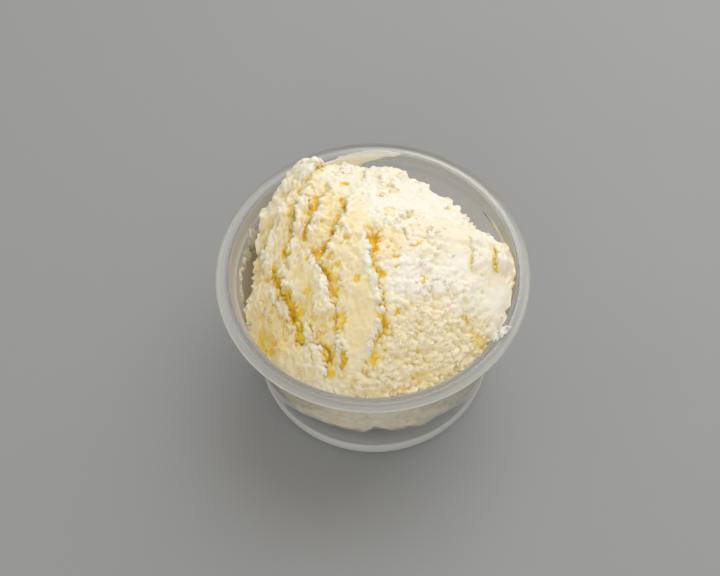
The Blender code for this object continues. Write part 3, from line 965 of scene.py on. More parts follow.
@dataclass
class Heap:
    """The heap seen in plan, worked out once over a fine square grid.

    Its layers are the height in millimetres, how far the torn edges lean over their gullies, how
    near a place is to a torn edge ("crest"), how golden a gully or pit is ("gold"), which is
    partly the fat's own yellow and partly painted shade, how freely light reaches a place
    ("open"), which the finish turns into painted shade, and the share of each texture.
    """

    tub: Tub
    rise: float = 20.0            # over the rim
    power: float = 2.1            # how flat the crown is on top
    lift_share: float = 0.85      # of each fold's lift, and of its gully's depth
    gully_share: float = 0.7
    drop_run: float = 1.1         # how far a torn edge takes to drop
    overhang: float = 0.4
    # Gullies deeper than this are painted golden: partly the fat's yellow, partly painted shade.
    golden_gully: float = 2.0     # a gully deeper than this shows gold
    waver: float = 1.6            # how far torn lines wander, and over what distance
    waver_size: float = 5.5
    teeth: float = 2.0            # how deep they are toothed, and how finely
    teeth_size: float = 1.7
    tears: int = 70
    tear_seed: int = 5
    reach: float = 46.0           # of the grid from the axis, and the grid's step
    step: float = 0.2
    directions: int = 16          # in which the light's way is looked along
    layers: Layers = field(default_factory=dict)

    def __post_init__(self) -> None:
        """Work out every layer."""
        side = np.arange(-self.reach, self.reach + self.step, self.step)
        x, y = np.meshgrid(side, side, indexing="ij")
        self.layers = self.torn_surface(x, y)
        self.layers["open"] = self.openness(self.layers["height"] - self.dome(x, y))
        for texture in Texture:
            self.layers[texture.value] = self.texture_share(x, y, texture)

    def round_the_tub(self, azimuth: np.ndarray, values: list[float]) -> np.ndarray:
        """Read values given at the edge's stations between them, smoothly.

        Args:
            azimuth: where they are read, in radians.
            values: one for each station.

        Returns:
            The values there.
        """
        degrees = np.degrees(azimuth) % 360.0
        angles = np.array([s.azimuth for s in STATIONS] + [STATIONS[0].azimuth + 360.0])
        closed = np.array(values + values[:1])
        k = np.clip(np.searchsorted(angles, degrees, side="right") - 1, 0, len(angles) - 2)
        share = smooth_step((degrees - angles[k]) / (angles[k + 1] - angles[k]))
        return closed[k] * (1 - share) + closed[k + 1] * share

    def edge(self, azimuth: np.ndarray) -> tuple[np.ndarray, np.ndarray]:
        """Return the radius of the heap's edge and its height above the table."""
        radius = self.round_the_tub(azimuth, [s.radius for s in STATIONS])
        return radius, self.tub.height + self.round_the_tub(azimuth, [s.rise for s in STATIONS])

    def dome(self, x: np.ndarray, y: np.ndarray) -> np.ndarray:
        """Work out the height of the plain crown, without folds.

        Args:
            x: places along X, in millimetres.
            y: places along Y.

        Returns:
            The height, in millimetres.
        """
        radius, edge_height = self.edge(np.arctan2(y, x))
        inward = np.minimum(np.hypot(x, y) / radius, 1.0)
        peak = self.tub.height + self.rise - 1.0
        return edge_height + (peak - edge_height) * (1 - inward ** self.power)

    @staticmethod
    def smooth_route(route: Route, steps: int = 8) -> np.ndarray:
        """Draw a Catmull-Rom curve through a fold's few points.

        Args:
            route: the points.
            steps: how many steps lie between two of them.

        Returns:
            The curve's points.
        """
        fixed = np.array(route, float)
        fixed = np.vstack([2 * fixed[0] - fixed[1], fixed, 2 * fixed[-1] - fixed[-2]])
        shares = np.linspace(0.0, 1.0, steps, endpoint=False)[:, None]
        spans = []
        for a, b, c, d in zip(fixed, fixed[1:], fixed[2:], fixed[3:]):
            spans.append(0.5 * (2 * b + (c - a) * shares
                                + (2 * a - 5 * b + 4 * c - d) * shares ** 2
                                + (3 * b - a - 3 * c + d) * shares ** 3))
        return np.vstack(spans + [fixed[-2][None]])

    def beside_route(self, x: np.ndarray, y: np.ndarray, route: Route) -> tuple[np.ndarray, ...]:
        """Find how points lie beside a route.

        Args:
            x: their places along X.
            y: their places along Y.
            route: the fold's few points.

        Returns:
            The distance from the route, positive on its +X side; the share
            of the route's length passed; and the direction towards +X of it,
            as two arrays.
        """
        line = self.smooth_route(route)
        lengths = np.concatenate([[0.0], np.cumsum(np.hypot(*np.diff(line, axis=0).T))])
        nearest = np.full(x.shape, 1e9)
        offset, along, side_x, side_y = (np.zeros(x.shape) for _ in range(4))
        for k, (start, end) in enumerate(zip(line, line[1:])):
            step = end - start
            length = math.hypot(*step)
            share = ((x - start[0]) * step[0] + (y - start[1]) * step[1]) / length ** 2
            share = np.clip(share, 0, 1)
            away_x, away_y = x - start[0] - share * step[0], y - start[1] - share * step[1]
            away = np.hypot(away_x, away_y)
            closer = away < nearest
            nearest = np.where(closer, away, nearest)
            towards = np.where(step[0] * away_y - step[1] * away_x >= 0, away, -away)
            offset = np.where(closer, towards, offset)
            along = np.where(closer, lengths[k] + share * (lengths[k + 1] - lengths[k]), along)
            side_x = np.where(closer, -step[1] / length, side_x)
            side_y = np.where(closer, step[0] / length, side_y)
        return offset, along / lengths[-1], side_x, side_y

    def torn_surface(self, x: np.ndarray, y: np.ndarray) -> Layers:
        """Work out the height, the edges' lean and the crests.

        Args:
            x: places along X, in millimetres.
            y: places along Y.

        Returns:
            The layers "height", "lean_x", "lean_y", "crest" and "gold".
        """
        fine_x, fine_y = (
            0.9 * rough(x, y, 2.4, 3, seed) + self.teeth * (
                np.abs(lattice_noise(x / self.teeth_size, y / self.teeth_size, seed + 1)) - 0.3)
            for seed in (111, 121))
        ground = {
            "x": x + self.waver * rough(x, y, self.waver_size, 2, 11) + fine_x,
            "y": y + self.waver * rough(x, y, self.waver_size, 2, 21) + fine_y,
            "knobs": np.maximum(1.0 + 0.9 * rough(x, y, 5.0, 3, 131), 0.1),
            "breaks": np.clip(1.0 + 1.1 * rough(x, y, 5.0, 2, 151), 0.15, 1.6),
            "inside": smooth_step((self.edge(np.arctan2(y, x))[0] - np.hypot(x, y)) / 3.0)}
        layers = {name: np.zeros(x.shape) for name in ("lean_x", "lean_y", "crest", "gold_and_shade")}
        layers["height"] = self.dome(x, y)
        for fold in FOLDS + self.small_tears():
            self.lay_fold(fold, ground, layers)
        # Pits are cut and painted golden, the deeper the more: partly the fat's yellow, partly
        # painted shade.
        for pit in PITS:
            share = smooth_step((1.5 - from_middle(pit, x + fine_x, y + fine_y)) / 1.1)
            layers["height"] -= 0.75 * pit.depth * share
            layers["gold_and_shade"] = np.maximum(layers["gold_and_shade"], min(1.0, pit.depth / 1.5) * share)
        for swell in SWELLS:
            away = (ground["x"] - swell.x) ** 2 + (ground["y"] - swell.y) ** 2
            layers["height"] += swell.height * np.exp(-(away / swell.radius ** 2))
        smooth = self.texture_share(x, y, Texture.SMOOTH)
        layers["height"] += (0.6 + 0.5 * (1 - smooth)) * rough(x, y, 5.0, 3, 31)
        strokes = rough(x + 0.25 * y, 0.22 * y, 2.6, 3, 181)
        layers["height"] += (0.22 + 0.5 * smooth_step((4.0 - x) / 12.0)) * strokes
        return layers

    def lay_fold(self, fold: Fold, ground: Layers, layers: Layers) -> None:
        """Raise one fold to its torn edge, cut the gully beside it, and mark both.

        Args:
            fold: the fold.
            ground: what all folds share: wavering places ("x", "y"), how knobbly
                their edges and how broken their gullies are, and how far
                inside the heap's edge a place is.
            layers: the heap's layers, changed where the fold reaches.
        """
        near = self.window(fold)
        wavy_x, wavy_y, knobs, breaks, inside = (
            ground[name][near] for name in ("x", "y", "knobs", "breaks", "inside"))
        offset, along, side_x, side_y = self.beside_route(wavy_x, wavy_y, fold.route)
        offset = offset * fold.side
        small = min(1.0, fold.run / 3.0)
        ends = smooth_step(np.minimum(along, 1.0 - along) / 0.18)
        rise = self.lift_share * fold.lift * knobs * np.exp(np.minimum(offset, 0.0) / fold.run)
        drop = np.exp(-(np.maximum(offset, 0.0) / fold.width) ** 1.4)
        drop = -self.gully_share * fold.gully * breaks * drop
        past = smooth_step(0.5 + offset / (self.drop_run * small))
        layers["height"][near] += (rise * (1 - past) + drop * past) * ends
        lean = np.exp(np.minimum(offset, 0.0) / (3.0 * small))
        lean = lean * inside * (1 - smooth_step(offset / 0.8))
        lean = self.overhang * (small > 0.9) * ends * lean
        layers["lean_x"][near] += fold.side * side_x * lean
        layers["lean_y"][near] += fold.side * side_y * lean
        edge = small * ends * np.exp(-((offset + 1.0 * small) / (1.3 * small)) ** 2)
        layers["crest"][near] = np.maximum(layers["crest"][near], edge)
        # A deep gully's floor is painted golden: partly the fat's yellow, partly painted shade.
        if fold.gully > self.golden_gully:
            bare = np.clip(2.2 * breaks - 1.9, 0.0, 1.0)
            bare = bare * min(1.0, fold.gully - self.golden_gully)
            bare = bare * ends * np.exp(-((offset - 1.2) / 1.25) ** 2)
            layers["gold_and_shade"][near] = np.maximum(layers["gold_and_shade"][near], 0.9 * bare)

    def small_tears(self) -> tuple[Fold, ...]:
        """Scatter short tears over the heap, lying like the folds but much smaller.

        Returns:
            The tears, each as a fold.
        """
        draws = np.random.default_rng(self.tear_seed)
        tears = []
        for _ in range(self.tears):
            angle = draws.uniform(-math.pi, math.pi)
            distance = 0.88 * self.edge(np.array([angle]))[0][0] * math.sqrt(draws.uniform())
            x, y = distance * math.cos(angle), distance * math.sin(angle)
            place = np.array([[x]]), np.array([[y]])
            if self.texture_share(*place, Texture.SMOOTH)[0, 0] > 0.4:
                continue
            if draws.uniform() < 0.8 * self.texture_share(*place, Texture.CURDS)[0, 0]:
                continue
            lean = math.radians(draws.uniform(-25.0, 25.0) + (12.0 if y > 0 else -12.0))
            half = draws.uniform(1.4, 4.2)
            bend = draws.uniform(-0.8, 0.8)
            route = tuple((x + t * half * math.sin(lean) + bend * (1 - t * t), y + t * half)
                          for t in (1.0, 0.0, -1.0))
            amount = draws.uniform(0.5, 1.0)
            side = -1 if draws.uniform() < (0.8 if x < 0 else 0.5) else 1
            tears.append(Fold(route, side, 1.0 * amount, 1.8, 1.4 * amount, 0.9 + 0.6 * amount))
        return tuple(tears)

    def window(self, fold: Fold) -> tuple[slice, slice]:
        """Find the stretch of the grid that a fold can reach.

        Args:
            fold: the fold.

        Returns:
            The stretch along X and along Y.
        """
        far = 4.0 * max(fold.run, fold.width) + 3.0
        spans = []
        for places in zip(*fold.route):
            low = (min(places) - far + self.reach) / self.step
            high = (max(places) + far + self.reach) / self.step
            spans.append(slice(max(0, int(low)), max(0, int(high))))
        return spans[0], spans[1]

    def openness(self, relief: np.ndarray) -> np.ndarray:
        """Work out how freely light reaches each place past what rises round it.

        Args:
            relief: heights on the grid, in millimetres.

        Returns:
            1 where nothing rises round a place, towards 0 deep in a gully.
        """
        total = np.zeros(relief.shape)
        for turn in range(self.directions):
            angle = 2.0 * math.pi * turn / self.directions
            horizon = np.zeros(relief.shape)
            for distance in (0.4, 0.8, 1.4, 2.2, 3.4):
                shift = (round(distance / self.step * math.cos(angle)),
                         round(distance / self.step * math.sin(angle)))
                other = np.roll(relief, shift, axis=(0, 1))
                horizon = np.maximum(horizon, (other - relief) / distance)
            total += 1.0 - horizon / np.hypot(1.0, horizon)
        return total / self.directions

    @staticmethod
    def texture_share(x: np.ndarray, y: np.ndarray, texture: Texture) -> np.ndarray:
        """Work out how much of a texture each place has.

        Args:
            x: places along X, in millimetres.
            y: places along Y.
            texture: the texture.

        Returns:
            The share, from 0 to 1.
        """
        share = np.zeros(x.shape)
        waver = 0.25 * rough(x, y, 4.0, 2, 141)
        for patch in PATCHES[texture]:
            away = from_middle(patch, x, y) + waver
            share = np.maximum(share, patch.amount * smooth_step((1.25 - away) / 0.5))
        return share

    def read(self, layer: str, x: np.ndarray, y: np.ndarray) -> np.ndarray:
        """Read a layer between the grid's points.

        Args:
            layer: the layer's name.
            x: places along X, in millimetres.
            y: places along Y.

        Returns:
            The layer's values there.
        """
        values = self.layers[layer]
        top = len(values) - 1.001
        at_x = np.clip((x + self.reach) / self.step, 0, top)
        at_y = np.clip((y + self.reach) / self.step, 0, top)
        i, j = at_x.astype(int), at_y.astype(int)
        u, v = at_x - i, at_y - j
        return ((values[i, j] * (1 - u) + values[i + 1, j] * u) * (1 - v)
                + (values[i, j + 1] * (1 - u) + values[i + 1, j + 1] * u) * v)


# --- Kaymak ------------------------------------------------------------------------

@dataclass
class Kaymak:
    """The body of cream: pressed to the wall in front, cut clear of it at the back right."""

    tub: Tub
    heap: Heap
    material: bpy.types.Material
    cube_cuts: int = 127          # the cream starts as a cube cut into this grid
    wall_bite: float = 0.15       # how far pressed cream reaches into the wall
    air_gap: float = 1.5          # depth of the air pockets against the wall
    fill_level: float = 21.0
    belly_sag: float = 3.5
    belt: float = 9.0             # radius of the circle on which noise round the side is read
    notch_azimuth: float = 270.0  # where an air pocket lifts the lower edge in front
    notch_rise: float = 5.0
    notch_spread: float = 4.5
    west_azimuth: float = 183.0   # where the free side leans in most
    top_polar: float = math.radians(122.0)   # where, on the ball, the top ends
    side_polar: float = math.radians(150.0)  # and the side
    headroom: float = 0.3         # left free under the solids' highest point
    edge_waver: float = 1.6       # how ragged the heap's outline is
    edge_teeth: float = 2.6
    edge_fade: float = 2.5        # depth over which that dies out down the side
    spread_rounds: int = 14
    curd_sizes: tuple[tuple[float, int], ...] = (  # knobs to crumbs, each with its seed
        (4.2, 209), (2.6, 201), (1.6, 202), (0.95, 203))

    def start_ball(self) -> tuple[np.ndarray, np.ndarray]:
        """Make the ball that the cream is shaped from, out of a gridded cube.

        Returns:
            Its points and its four-sided faces.
        """
        shape = bmesh.new()
        bmesh.ops.create_cube(shape, size=2.0)
        bmesh.ops.subdivide_edges(shape, edges=shape.edges[:], cuts=self.cube_cuts,
                                  use_grid_fill=True)
        cube, quads = points_and_faces(shape)
        ball = np.tan(cube * math.pi / 4)
        return ball / np.linalg.norm(ball, axis=1)[:, None], quads

    def spread(self, plan: np.ndarray, free: np.ndarray, quads: np.ndarray) -> np.ndarray:
        """Draw the top's points together where it is steep, so that faces stay even.

        Args:
            plan: the points' places in plan.
            free: which of them may move.
            quads: the faces.

        Returns:
            The new places in plan.
        """
        edges = np.vstack([quads[:, [k, (k + 1) % 4]] for k in range(4)])
        start, end = edges.T
        count = len(plan)
        for _ in range(self.spread_rounds):
            height = self.heap.read("height", *plan.T)
            places = np.column_stack([plan, height])
            length = np.linalg.norm(places[start] - places[end], axis=1)
            weight = np.bincount(start, length, count) + np.bincount(end, length, count)
            pull = np.stack([np.bincount(start, length * plan[end, axis], count)
                             + np.bincount(end, length * plan[start, axis], count)
                             for axis in (0, 1)], axis=1)
            pull = pull / np.maximum(weight, 1e-12)[:, None]
            plan = np.where(free[:, None], plan + 0.7 * (pull - plan), plan)
        return plan

    def lower_edge(self, azimuth: np.ndarray) -> np.ndarray:
        """Work out the cream's ragged lower edge against the wall.

        Args:
            azimuth: where, in radians.

        Returns:
            Its height above the table, in millimetres.
        """
        x, y = self.belt * np.cos(azimuth), self.belt * np.sin(azimuth)
        low = self.fill_level + 3.4 * rough(x, y, 3.0, 3, 41)
        low = low + 5.0 * rough(4 * x, 4 * y, 4.0, 3, 141)
        low = low + 4.0 * (0.4 - np.abs(lattice_noise(2.2 * x, 2.2 * y, 145)))
        notch = turned_from(azimuth, self.notch_azimuth) / self.notch_spread
        return low + self.notch_rise * np.exp(-notch ** 2)

    def pocketed_wall(self, side: np.ndarray,
                      edge_radius: np.ndarray) -> tuple[np.ndarray, np.ndarray]:
        """Work out how far out the wall lets the cream reach.

        Args:
            side: places round the side for the noise, with true heights.
            edge_radius: the radius of the heap's edge above each.

        Returns:
            The radius, and how closely the cream touches the wall: 1 where it
            is pressed to it, and 0 in an air pocket.
        """
        height, shoulder = side[:, 2], self.tub.shoulder - 1.0
        touch = curds(side, 3.4, 83) + 0.6 * solid_noise(side, 5.0, 81)
        touch = smooth_step((touch - 0.52) / 0.3)
        radius = self.tub.inner_wall(np.minimum(height, shoulder))
        radius = radius + self.wall_bite - (self.wall_bite + self.air_gap) * (1 - touch)
        return np.where(height <= shoulder, radius, np.maximum(radius, edge_radius)), touch

    def underside(self, polar: np.ndarray, azimuth: np.ndarray,
                  low: np.ndarray) -> tuple[np.ndarray, np.ndarray]:
        """Work out the hidden, lumpy belly.

        Args:
            polar: the ball's points' angles from the top, in radians.
            azimuth: their azimuths.
            low: the height of the lower edge above each.

        Returns:
            The points' distances from the axis and their heights.
        """
        share = np.sin((math.pi - np.maximum(polar, self.side_polar)) / 2)
        share = share / math.sin((math.pi - self.side_polar) / 2)
        radius = (self.tub.inner_wall(low) + self.wall_bite) * share
        lumps = rough(radius * np.cos(azimuth), radius * np.sin(azimuth), 9.0, 3, 61)
        height = low - self.belly_sag * (1 - share ** 2)
        return radius, height + 1.4 * lumps * (1 - share ** 4)

    def base_form(self, ball: np.ndarray, quads: np.ndarray) -> Layers:
        """Carry the ball's points to the cream's plain form.

        Args:
            ball: points of a unit ball. Its top becomes the heap, a belt
                below it the side that faces the wall, the rest the underside.
            quads: the faces.

        Returns:
            The places in millimetres; the masks "top", "pressed" (held smooth
            by the wall), "touch" and "brink" (the heap's outer edge); and what
            the heap's layers say at each point.
        """
        polar = np.arccos(np.clip(ball[:, 2], -1.0, 1.0))
        azimuth = np.arctan2(ball[:, 1], ball[:, 0])
        round_x, round_y = np.cos(azimuth), np.sin(azimuth)
        belt_x, belt_y = self.belt * round_x, self.belt * round_y
        edge_radius, _ = self.heap.edge(azimuth)
        ragged = self.edge_waver * rough(4 * belt_x, 4 * belt_y, 5.0, 3, 71)
        teeth = 0.35 - np.abs(lattice_noise(1.6 * belt_x, 1.6 * belt_y, 72))
        ragged = ragged + self.edge_teeth * teeth
        ragged = ragged * smooth_step((46.0 - edge_radius) / 2.0)
        edge_radius = edge_radius + ragged
        low = self.lower_edge(azimuth)

        top_share = np.sin(np.minimum(polar, self.top_polar) / 2) / math.sin(self.top_polar / 2)
        plan = np.column_stack([edge_radius * top_share * round_x,
                                edge_radius * top_share * round_y])
        top = polar <= self.top_polar
        plan = self.spread(plan, top & (top_share < 0.985), quads)
        form = {name: self.heap.read(name, *plan.T) for name in self.heap.layers}

        side_share = (polar - self.top_polar) / (self.side_polar - self.top_polar)
        side_share = np.clip(side_share, 0.0, 1.0)
        side_height = form["height"] + (low - form["height"]) * side_share
        depth = np.maximum(form["height"] - side_height, 0.0)
        west = np.exp(-((np.degrees(azimuth) % 360.0 - self.west_azimuth) / 30.0) ** 2)
        free_radius = edge_radius + (0.05 - 0.08 * west) * depth + 0.0085 * depth ** 2
        free_radius = free_radius - ragged * (1 - np.exp(-depth / self.edge_fade))
        side = np.column_stack([4.4 * belt_x, 4.4 * belt_y, side_height])
        free_radius = free_radius + 0.9 * solid_noise(side, 6.0, 51) * side_share
        wall_radius, touch = self.pocketed_wall(side, edge_radius)
        pressed = (~top) & (free_radius >= wall_radius)

        under_radius, under_height = self.underside(polar, azimuth, low)
        above = polar <= self.side_polar
        radius = np.where(above, np.minimum(free_radius, wall_radius), under_radius)
        x = np.where(top, plan[:, 0] + form["lean_x"], radius * round_x)
        y = np.where(top, plan[:, 1] + form["lean_y"], radius * round_y)
        z = np.where(top, form["height"], np.where(above, side_height, under_height))
        for name in ("crest", "gold_and_shade", "buttery_and_shaded"):
            form[name] = form[name] * top
        form["smooth"] = form["smooth"] * (1 - 0.7 * form["crest"])
        return form | {
            "places": np.column_stack([x, y, z]), "plan": plan, "top": top.astype(float),
            "pressed": pressed * smooth_step((side_height - low) / 2.5),
            "touch": np.where(pressed, touch, 0.6),
            "brink": top * smooth_step((top_share - 0.86) / 0.1) * (1 - pressed)}

    def relief(self, form: Layers) -> tuple[np.ndarray, np.ndarray]:
        """Work out the fine relief: curds, torn knobs, pits and faint drag marks.

        Args:
            form: what base_form gave.

        Returns:
            How far each point moves outwards, in millimetres, and how open its own relief leaves
            it, from 0 to 1, which paints shade into the colour between the curds.
        """
        places, (x, y) = form["places"], form["plan"].T
        curd, smooth, crest = form["curds"], form["smooth"], form["crest"]
        knobs, lumps, grains, crumbs = (curds(places, *how) for how in self.curd_sizes)
        wave = solid_noise(places, 3.2, 204)
        flake = 0.6 - 2.2 * np.abs(solid_noise(places, 2.4, 207))
        drag = rough(x * 1.6 + 0.35 * y, y * 0.22, 1.1, 2, 205)
        rugged = smooth_step(0.45 + 1.1 * rough(x, y, 7.0, 2, 208))
        broken = (1 - smooth) * (1 - form["pressed"]) * (1 - 0.65 * form["gold_and_shade"])
        front = curd * smooth_step((-16.0 - y) / 16.0)
        torn = broken * (1 - 0.5 * curd) * (0.35 + 0.5 * rugged)
        amount = (0.55 + 0.4 * curd + 0.3 * rugged + 1.0 * front) * broken
        move = amount * (0.5 * (lumps - 0.55) + 0.55 * (grains - 0.55) + 0.22 * (crumbs - 0.5))
        move += 0.4 * curd * broken * (knobs - 0.5)
        move += np.maximum(crest, form["brink"]) * broken * (0.6 * (knobs - 0.5) + 0.4 * flake)
        move += (0.25 * wave + 0.35 * flake) * torn + 0.10 * drag * smooth
        # Painted shade between grains and lumps.
        own = 1.0 - amount * ((0.2 + 0.04 * front) * (1 - grains) ** 1.5 + 0.12 * (1 - lumps))
        own = own + 0.06 * wave * torn
        return move * (1 - 0.9 * form["pressed"]), np.clip(own, 0.0, 1.0)

    def hold_in(self, places: np.ndarray) -> np.ndarray:
        """Keep the cream from standing through the tub's wall or above the solids.

        Args:
            places: places in millimetres, one row each.

        Returns:
            The places, drawn in where they have to be.
        """
        x, y, height = places.T
        neck = self.tub.inner_wall(np.minimum(height, self.tub.shoulder - 0.4)) + self.wall_bite
        limit = np.where(height < self.tub.shoulder + 0.1, neck, neck + self.tub.shoulder_step)
        limit = np.where(height > self.tub.height + 0.4, 1e3, limit)
        scale = np.minimum(1.0, limit / np.maximum(np.hypot(x, y), 1e-9))
        peak = CAD_BOX[1][2] / MM - self.headroom
        proud = np.maximum(height - peak + 1.0, 0.0)
        height = np.where(proud > 0, peak - np.exp(-proud), height)
        return np.column_stack([x * scale, y * scale, height])

    @staticmethod
    def marks(form: Layers, places: np.ndarray, own: np.ndarray) -> Layers:
        """Work out what the finish and the crumbs read at each point.

        Args:
            form: what base_form gave.
            places: the finished places, in millimetres.
            own: how open the fine relief leaves each point.

        Returns:
            The layers "open", "butter", "loose" and "grainy", from 0 to 1.
        """
        top, crest, curd, smooth, gold_and_shade = (
            form[name] for name in ("top", "crest", "curds", "smooth", "gold_and_shade"))
        mottled = 0.5 * solid_noise(places, 3.4, 211) + 0.3 * solid_noise(places, 1.5, 212)
        # Painted shade on the side seen through the wall: low on the colour ramp, darker and more
        # golden in the air pockets.
        pasted = np.maximum(0.46 + 0.36 * form["touch"] + mottled, 0.44)
        opened = np.where(top > 0, form["open"], pasted)
        # Painted light and shade: torn crests lifted towards white, golden gullies and pits pushed
        # down into painted shade.
        opened = opened * own + 0.14 * crest + 0.08 * curd * (1 - crest) - 0.48 * gold_and_shade
        loose = 0.02 + 0.7 * curd ** 2 + 0.4 * np.maximum(crest, form["brink"])
        loose = top * np.clip(loose, 0.0, 1.0) * (1 - smooth) * (1 - gold_and_shade)
        loose = loose * (1 - 0.7 * smooth_step((form["plan"][:, 1] - 4.0) / 10.0))
        loose = loose * smooth_step((CAD_BOX[1][2] / MM - 1.4 - places[:, 2]) / 0.8)
        grainy = 0.75 + 0.25 * curd - 0.55 * smooth * top
        return {"open": np.clip(opened, 0.0, 1.0),
                # The tan tint: partly the butterfat on the heap, and painted shade on the side
                # seen through the wall.
                "butter": form["buttery_and_shaded"] * (1 - 0.7 * crest) + 0.35 * (1 - top),
                "loose": loose, "grainy": grainy * (1 - 0.9 * form["pressed"])}

    def build(self) -> bpy.types.Object:
        """Shape the cream and mark where it is open, torn, or tinted tan, partly by its butterfat
        and partly as painted shade.

        Returns:
            The cream.
        """
        ball, quads = self.start_ball()
        form = self.base_form(ball, quads)
        move, own = self.relief(form)
        normals = evened(mesh_normals(form["places"], quads), quads, 3)
        places = self.hold_in(form["places"] + normals * move[:, None])
        mesh = bpy.data.meshes.new("kaymak")
        mesh.from_pydata(places * MM, [], quads.tolist())
        paint(mesh, self.marks(form, places, own))
        kaymak = show(mesh, "kaymak_cream", self.material)
        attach(kaymak, BODY)
        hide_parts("kaymak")
        return kaymak


# --- Small pieces of cream -----------------------------------------------------------

@dataclass
class Wing:
    """A thin strip of cream smeared along the wall and over the lip, to a ragged tip."""

    tub: Tub
    material: bpy.types.Material
    start: float = 119.0          # azimuths, from its root in the heap to its tip
    end: float = 76.5
    thickness: float = 1.5
    upper: tuple[float, ...] = (0.4, -0.4, 0.0, 0.5, 0.9, 0.9, 0.6)  # its edges over the rim,
    lower: tuple[float, ...] = (-8.0, -8.0, -8.0, -7.0, -3.8, -1.2, 0.3)  # from root to tip
    steps: int = 150
    sides: int = 44

    def wall_inside(self, height: np.ndarray) -> np.ndarray:
        """Work out how far out the strip reaches: just into the wall, and over the lip.

        Args:
            height: heights above the table, in millimetres.

        Returns:
            The radius there.
        """
        tub = self.tub
        step = smooth_step(height - tub.shoulder + 0.5)
        radius = tub.inner_wall(np.minimum(height, tub.shoulder)) + 0.12 + tub.shoulder_step * step
        return radius + 1.1 * smooth_step((height - tub.height + 0.5) / 1.2)

    def build(self) -> bpy.types.Object:
        """Carry the strip's section along the wall.

        Returns:
            The wing.
        """
        shape = bmesh.new()
        bmesh.ops.create_cone(shape, cap_ends=True, segments=self.sides, radius1=1.0,
                              radius2=1.0, depth=1.0)
        body = [e for e in shape.edges if abs(e.verts[0].co.z - e.verts[1].co.z) > 0.5]
        bmesh.ops.subdivide_edges(shape, edges=body, cuts=self.steps, use_grid_fill=True)
        start = np.array([vert.co[:] for vert in shape.verts])
        share = start[:, 2] + 0.5
        azimuth = np.radians(self.start + (self.end - self.start) * share)
        along = WALL_RADIUS * azimuth
        places = np.linspace(0.0, 1.0, len(self.upper))
        upper = self.tub.height + np.interp(share, places, self.upper)
        upper = upper + 0.45 * rough(along, 0 * along, 2.2, 3, 301)
        lower = self.tub.height + np.interp(share, places, self.lower)
        lower = lower + 0.9 * rough(along, 0 * along + 9.0, 3.0, 3, 311)
        height = lower + (upper - lower) * (0.5 + 0.5 * start[:, 1])
        thick = self.thickness * (1.0 - 0.6 * share) * (0.5 - 0.5 * start[:, 0])
        thick = thick * (1.0 + 0.35 * rough(along * 0.3, height, 1.3, 2, 321))
        radius = self.wall_inside(height) - thick
        for vert, r, a, z in zip(shape.verts, radius, azimuth, height):
            vert.co = (r * MM * math.cos(a), r * MM * math.sin(a), z * MM)
        bmesh.ops.recalc_face_normals(shape, faces=shape.faces)
        mesh = bpy.data.meshes.new("kaymak_wing")
        shape.to_mesh(mesh)
        shape.free()
        patchy = rough(along, height, 3.0, 3, 331)
        paint(mesh, {"open": 0.9 + 0.12 * patchy, "grainy": 0.5 + 0.3 * patchy,
                     "butter": np.full(len(along), 0.1)})
        wing = show(mesh, "kaymak_wing", self.material)
        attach(wing, BODY)
        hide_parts("kaymak")
        return wing


class Smear(NamedTuple):
    """A thin fleck of cream wiped on the tub, with its sizes in millimetres."""

    azimuth: float
    radius: float
    height: float
    length: float
    width: float
    thickness: float
    tilt: float


SMEARS = tuple(Smear(*row) for row in (
    (155, 43.3, 46, 11, 5.5, 0.8, 82), (161.5, 43.2, 44.5, 8, 4.0, 0.8, 70),
    (165.5, 43.4, 46.5, 3.6, 2.6, 1.3, 20), (168, 43.3, 44.5, 3.0, 1.6, 1.0, 60),
    (170.5, 43.4, 46.5, 2.0, 1.4, 1.0, 0), (174.8, 43.4, 46.8, 5.0, 2.4, 1.0, -52),
    (181.0, 43.1, 43.7, 7.0, 2.8, 1.1, -52), (187.5, 42.6, 39.7, 7.5, 2.4, 1.0, -52),
    (193.0, 42.2, 36.0, 5.0, 2.0, 1.0, -52), (330.4, 47.6, 56.1, 2.6, 1.2, 1.1, 30),
    (328.6, 46.8, 56.1, 4.0, 2.4, 1.3, 5), (325.8, 45.6, 55.6, 3.8, 2.4, 1.4, -16),
))


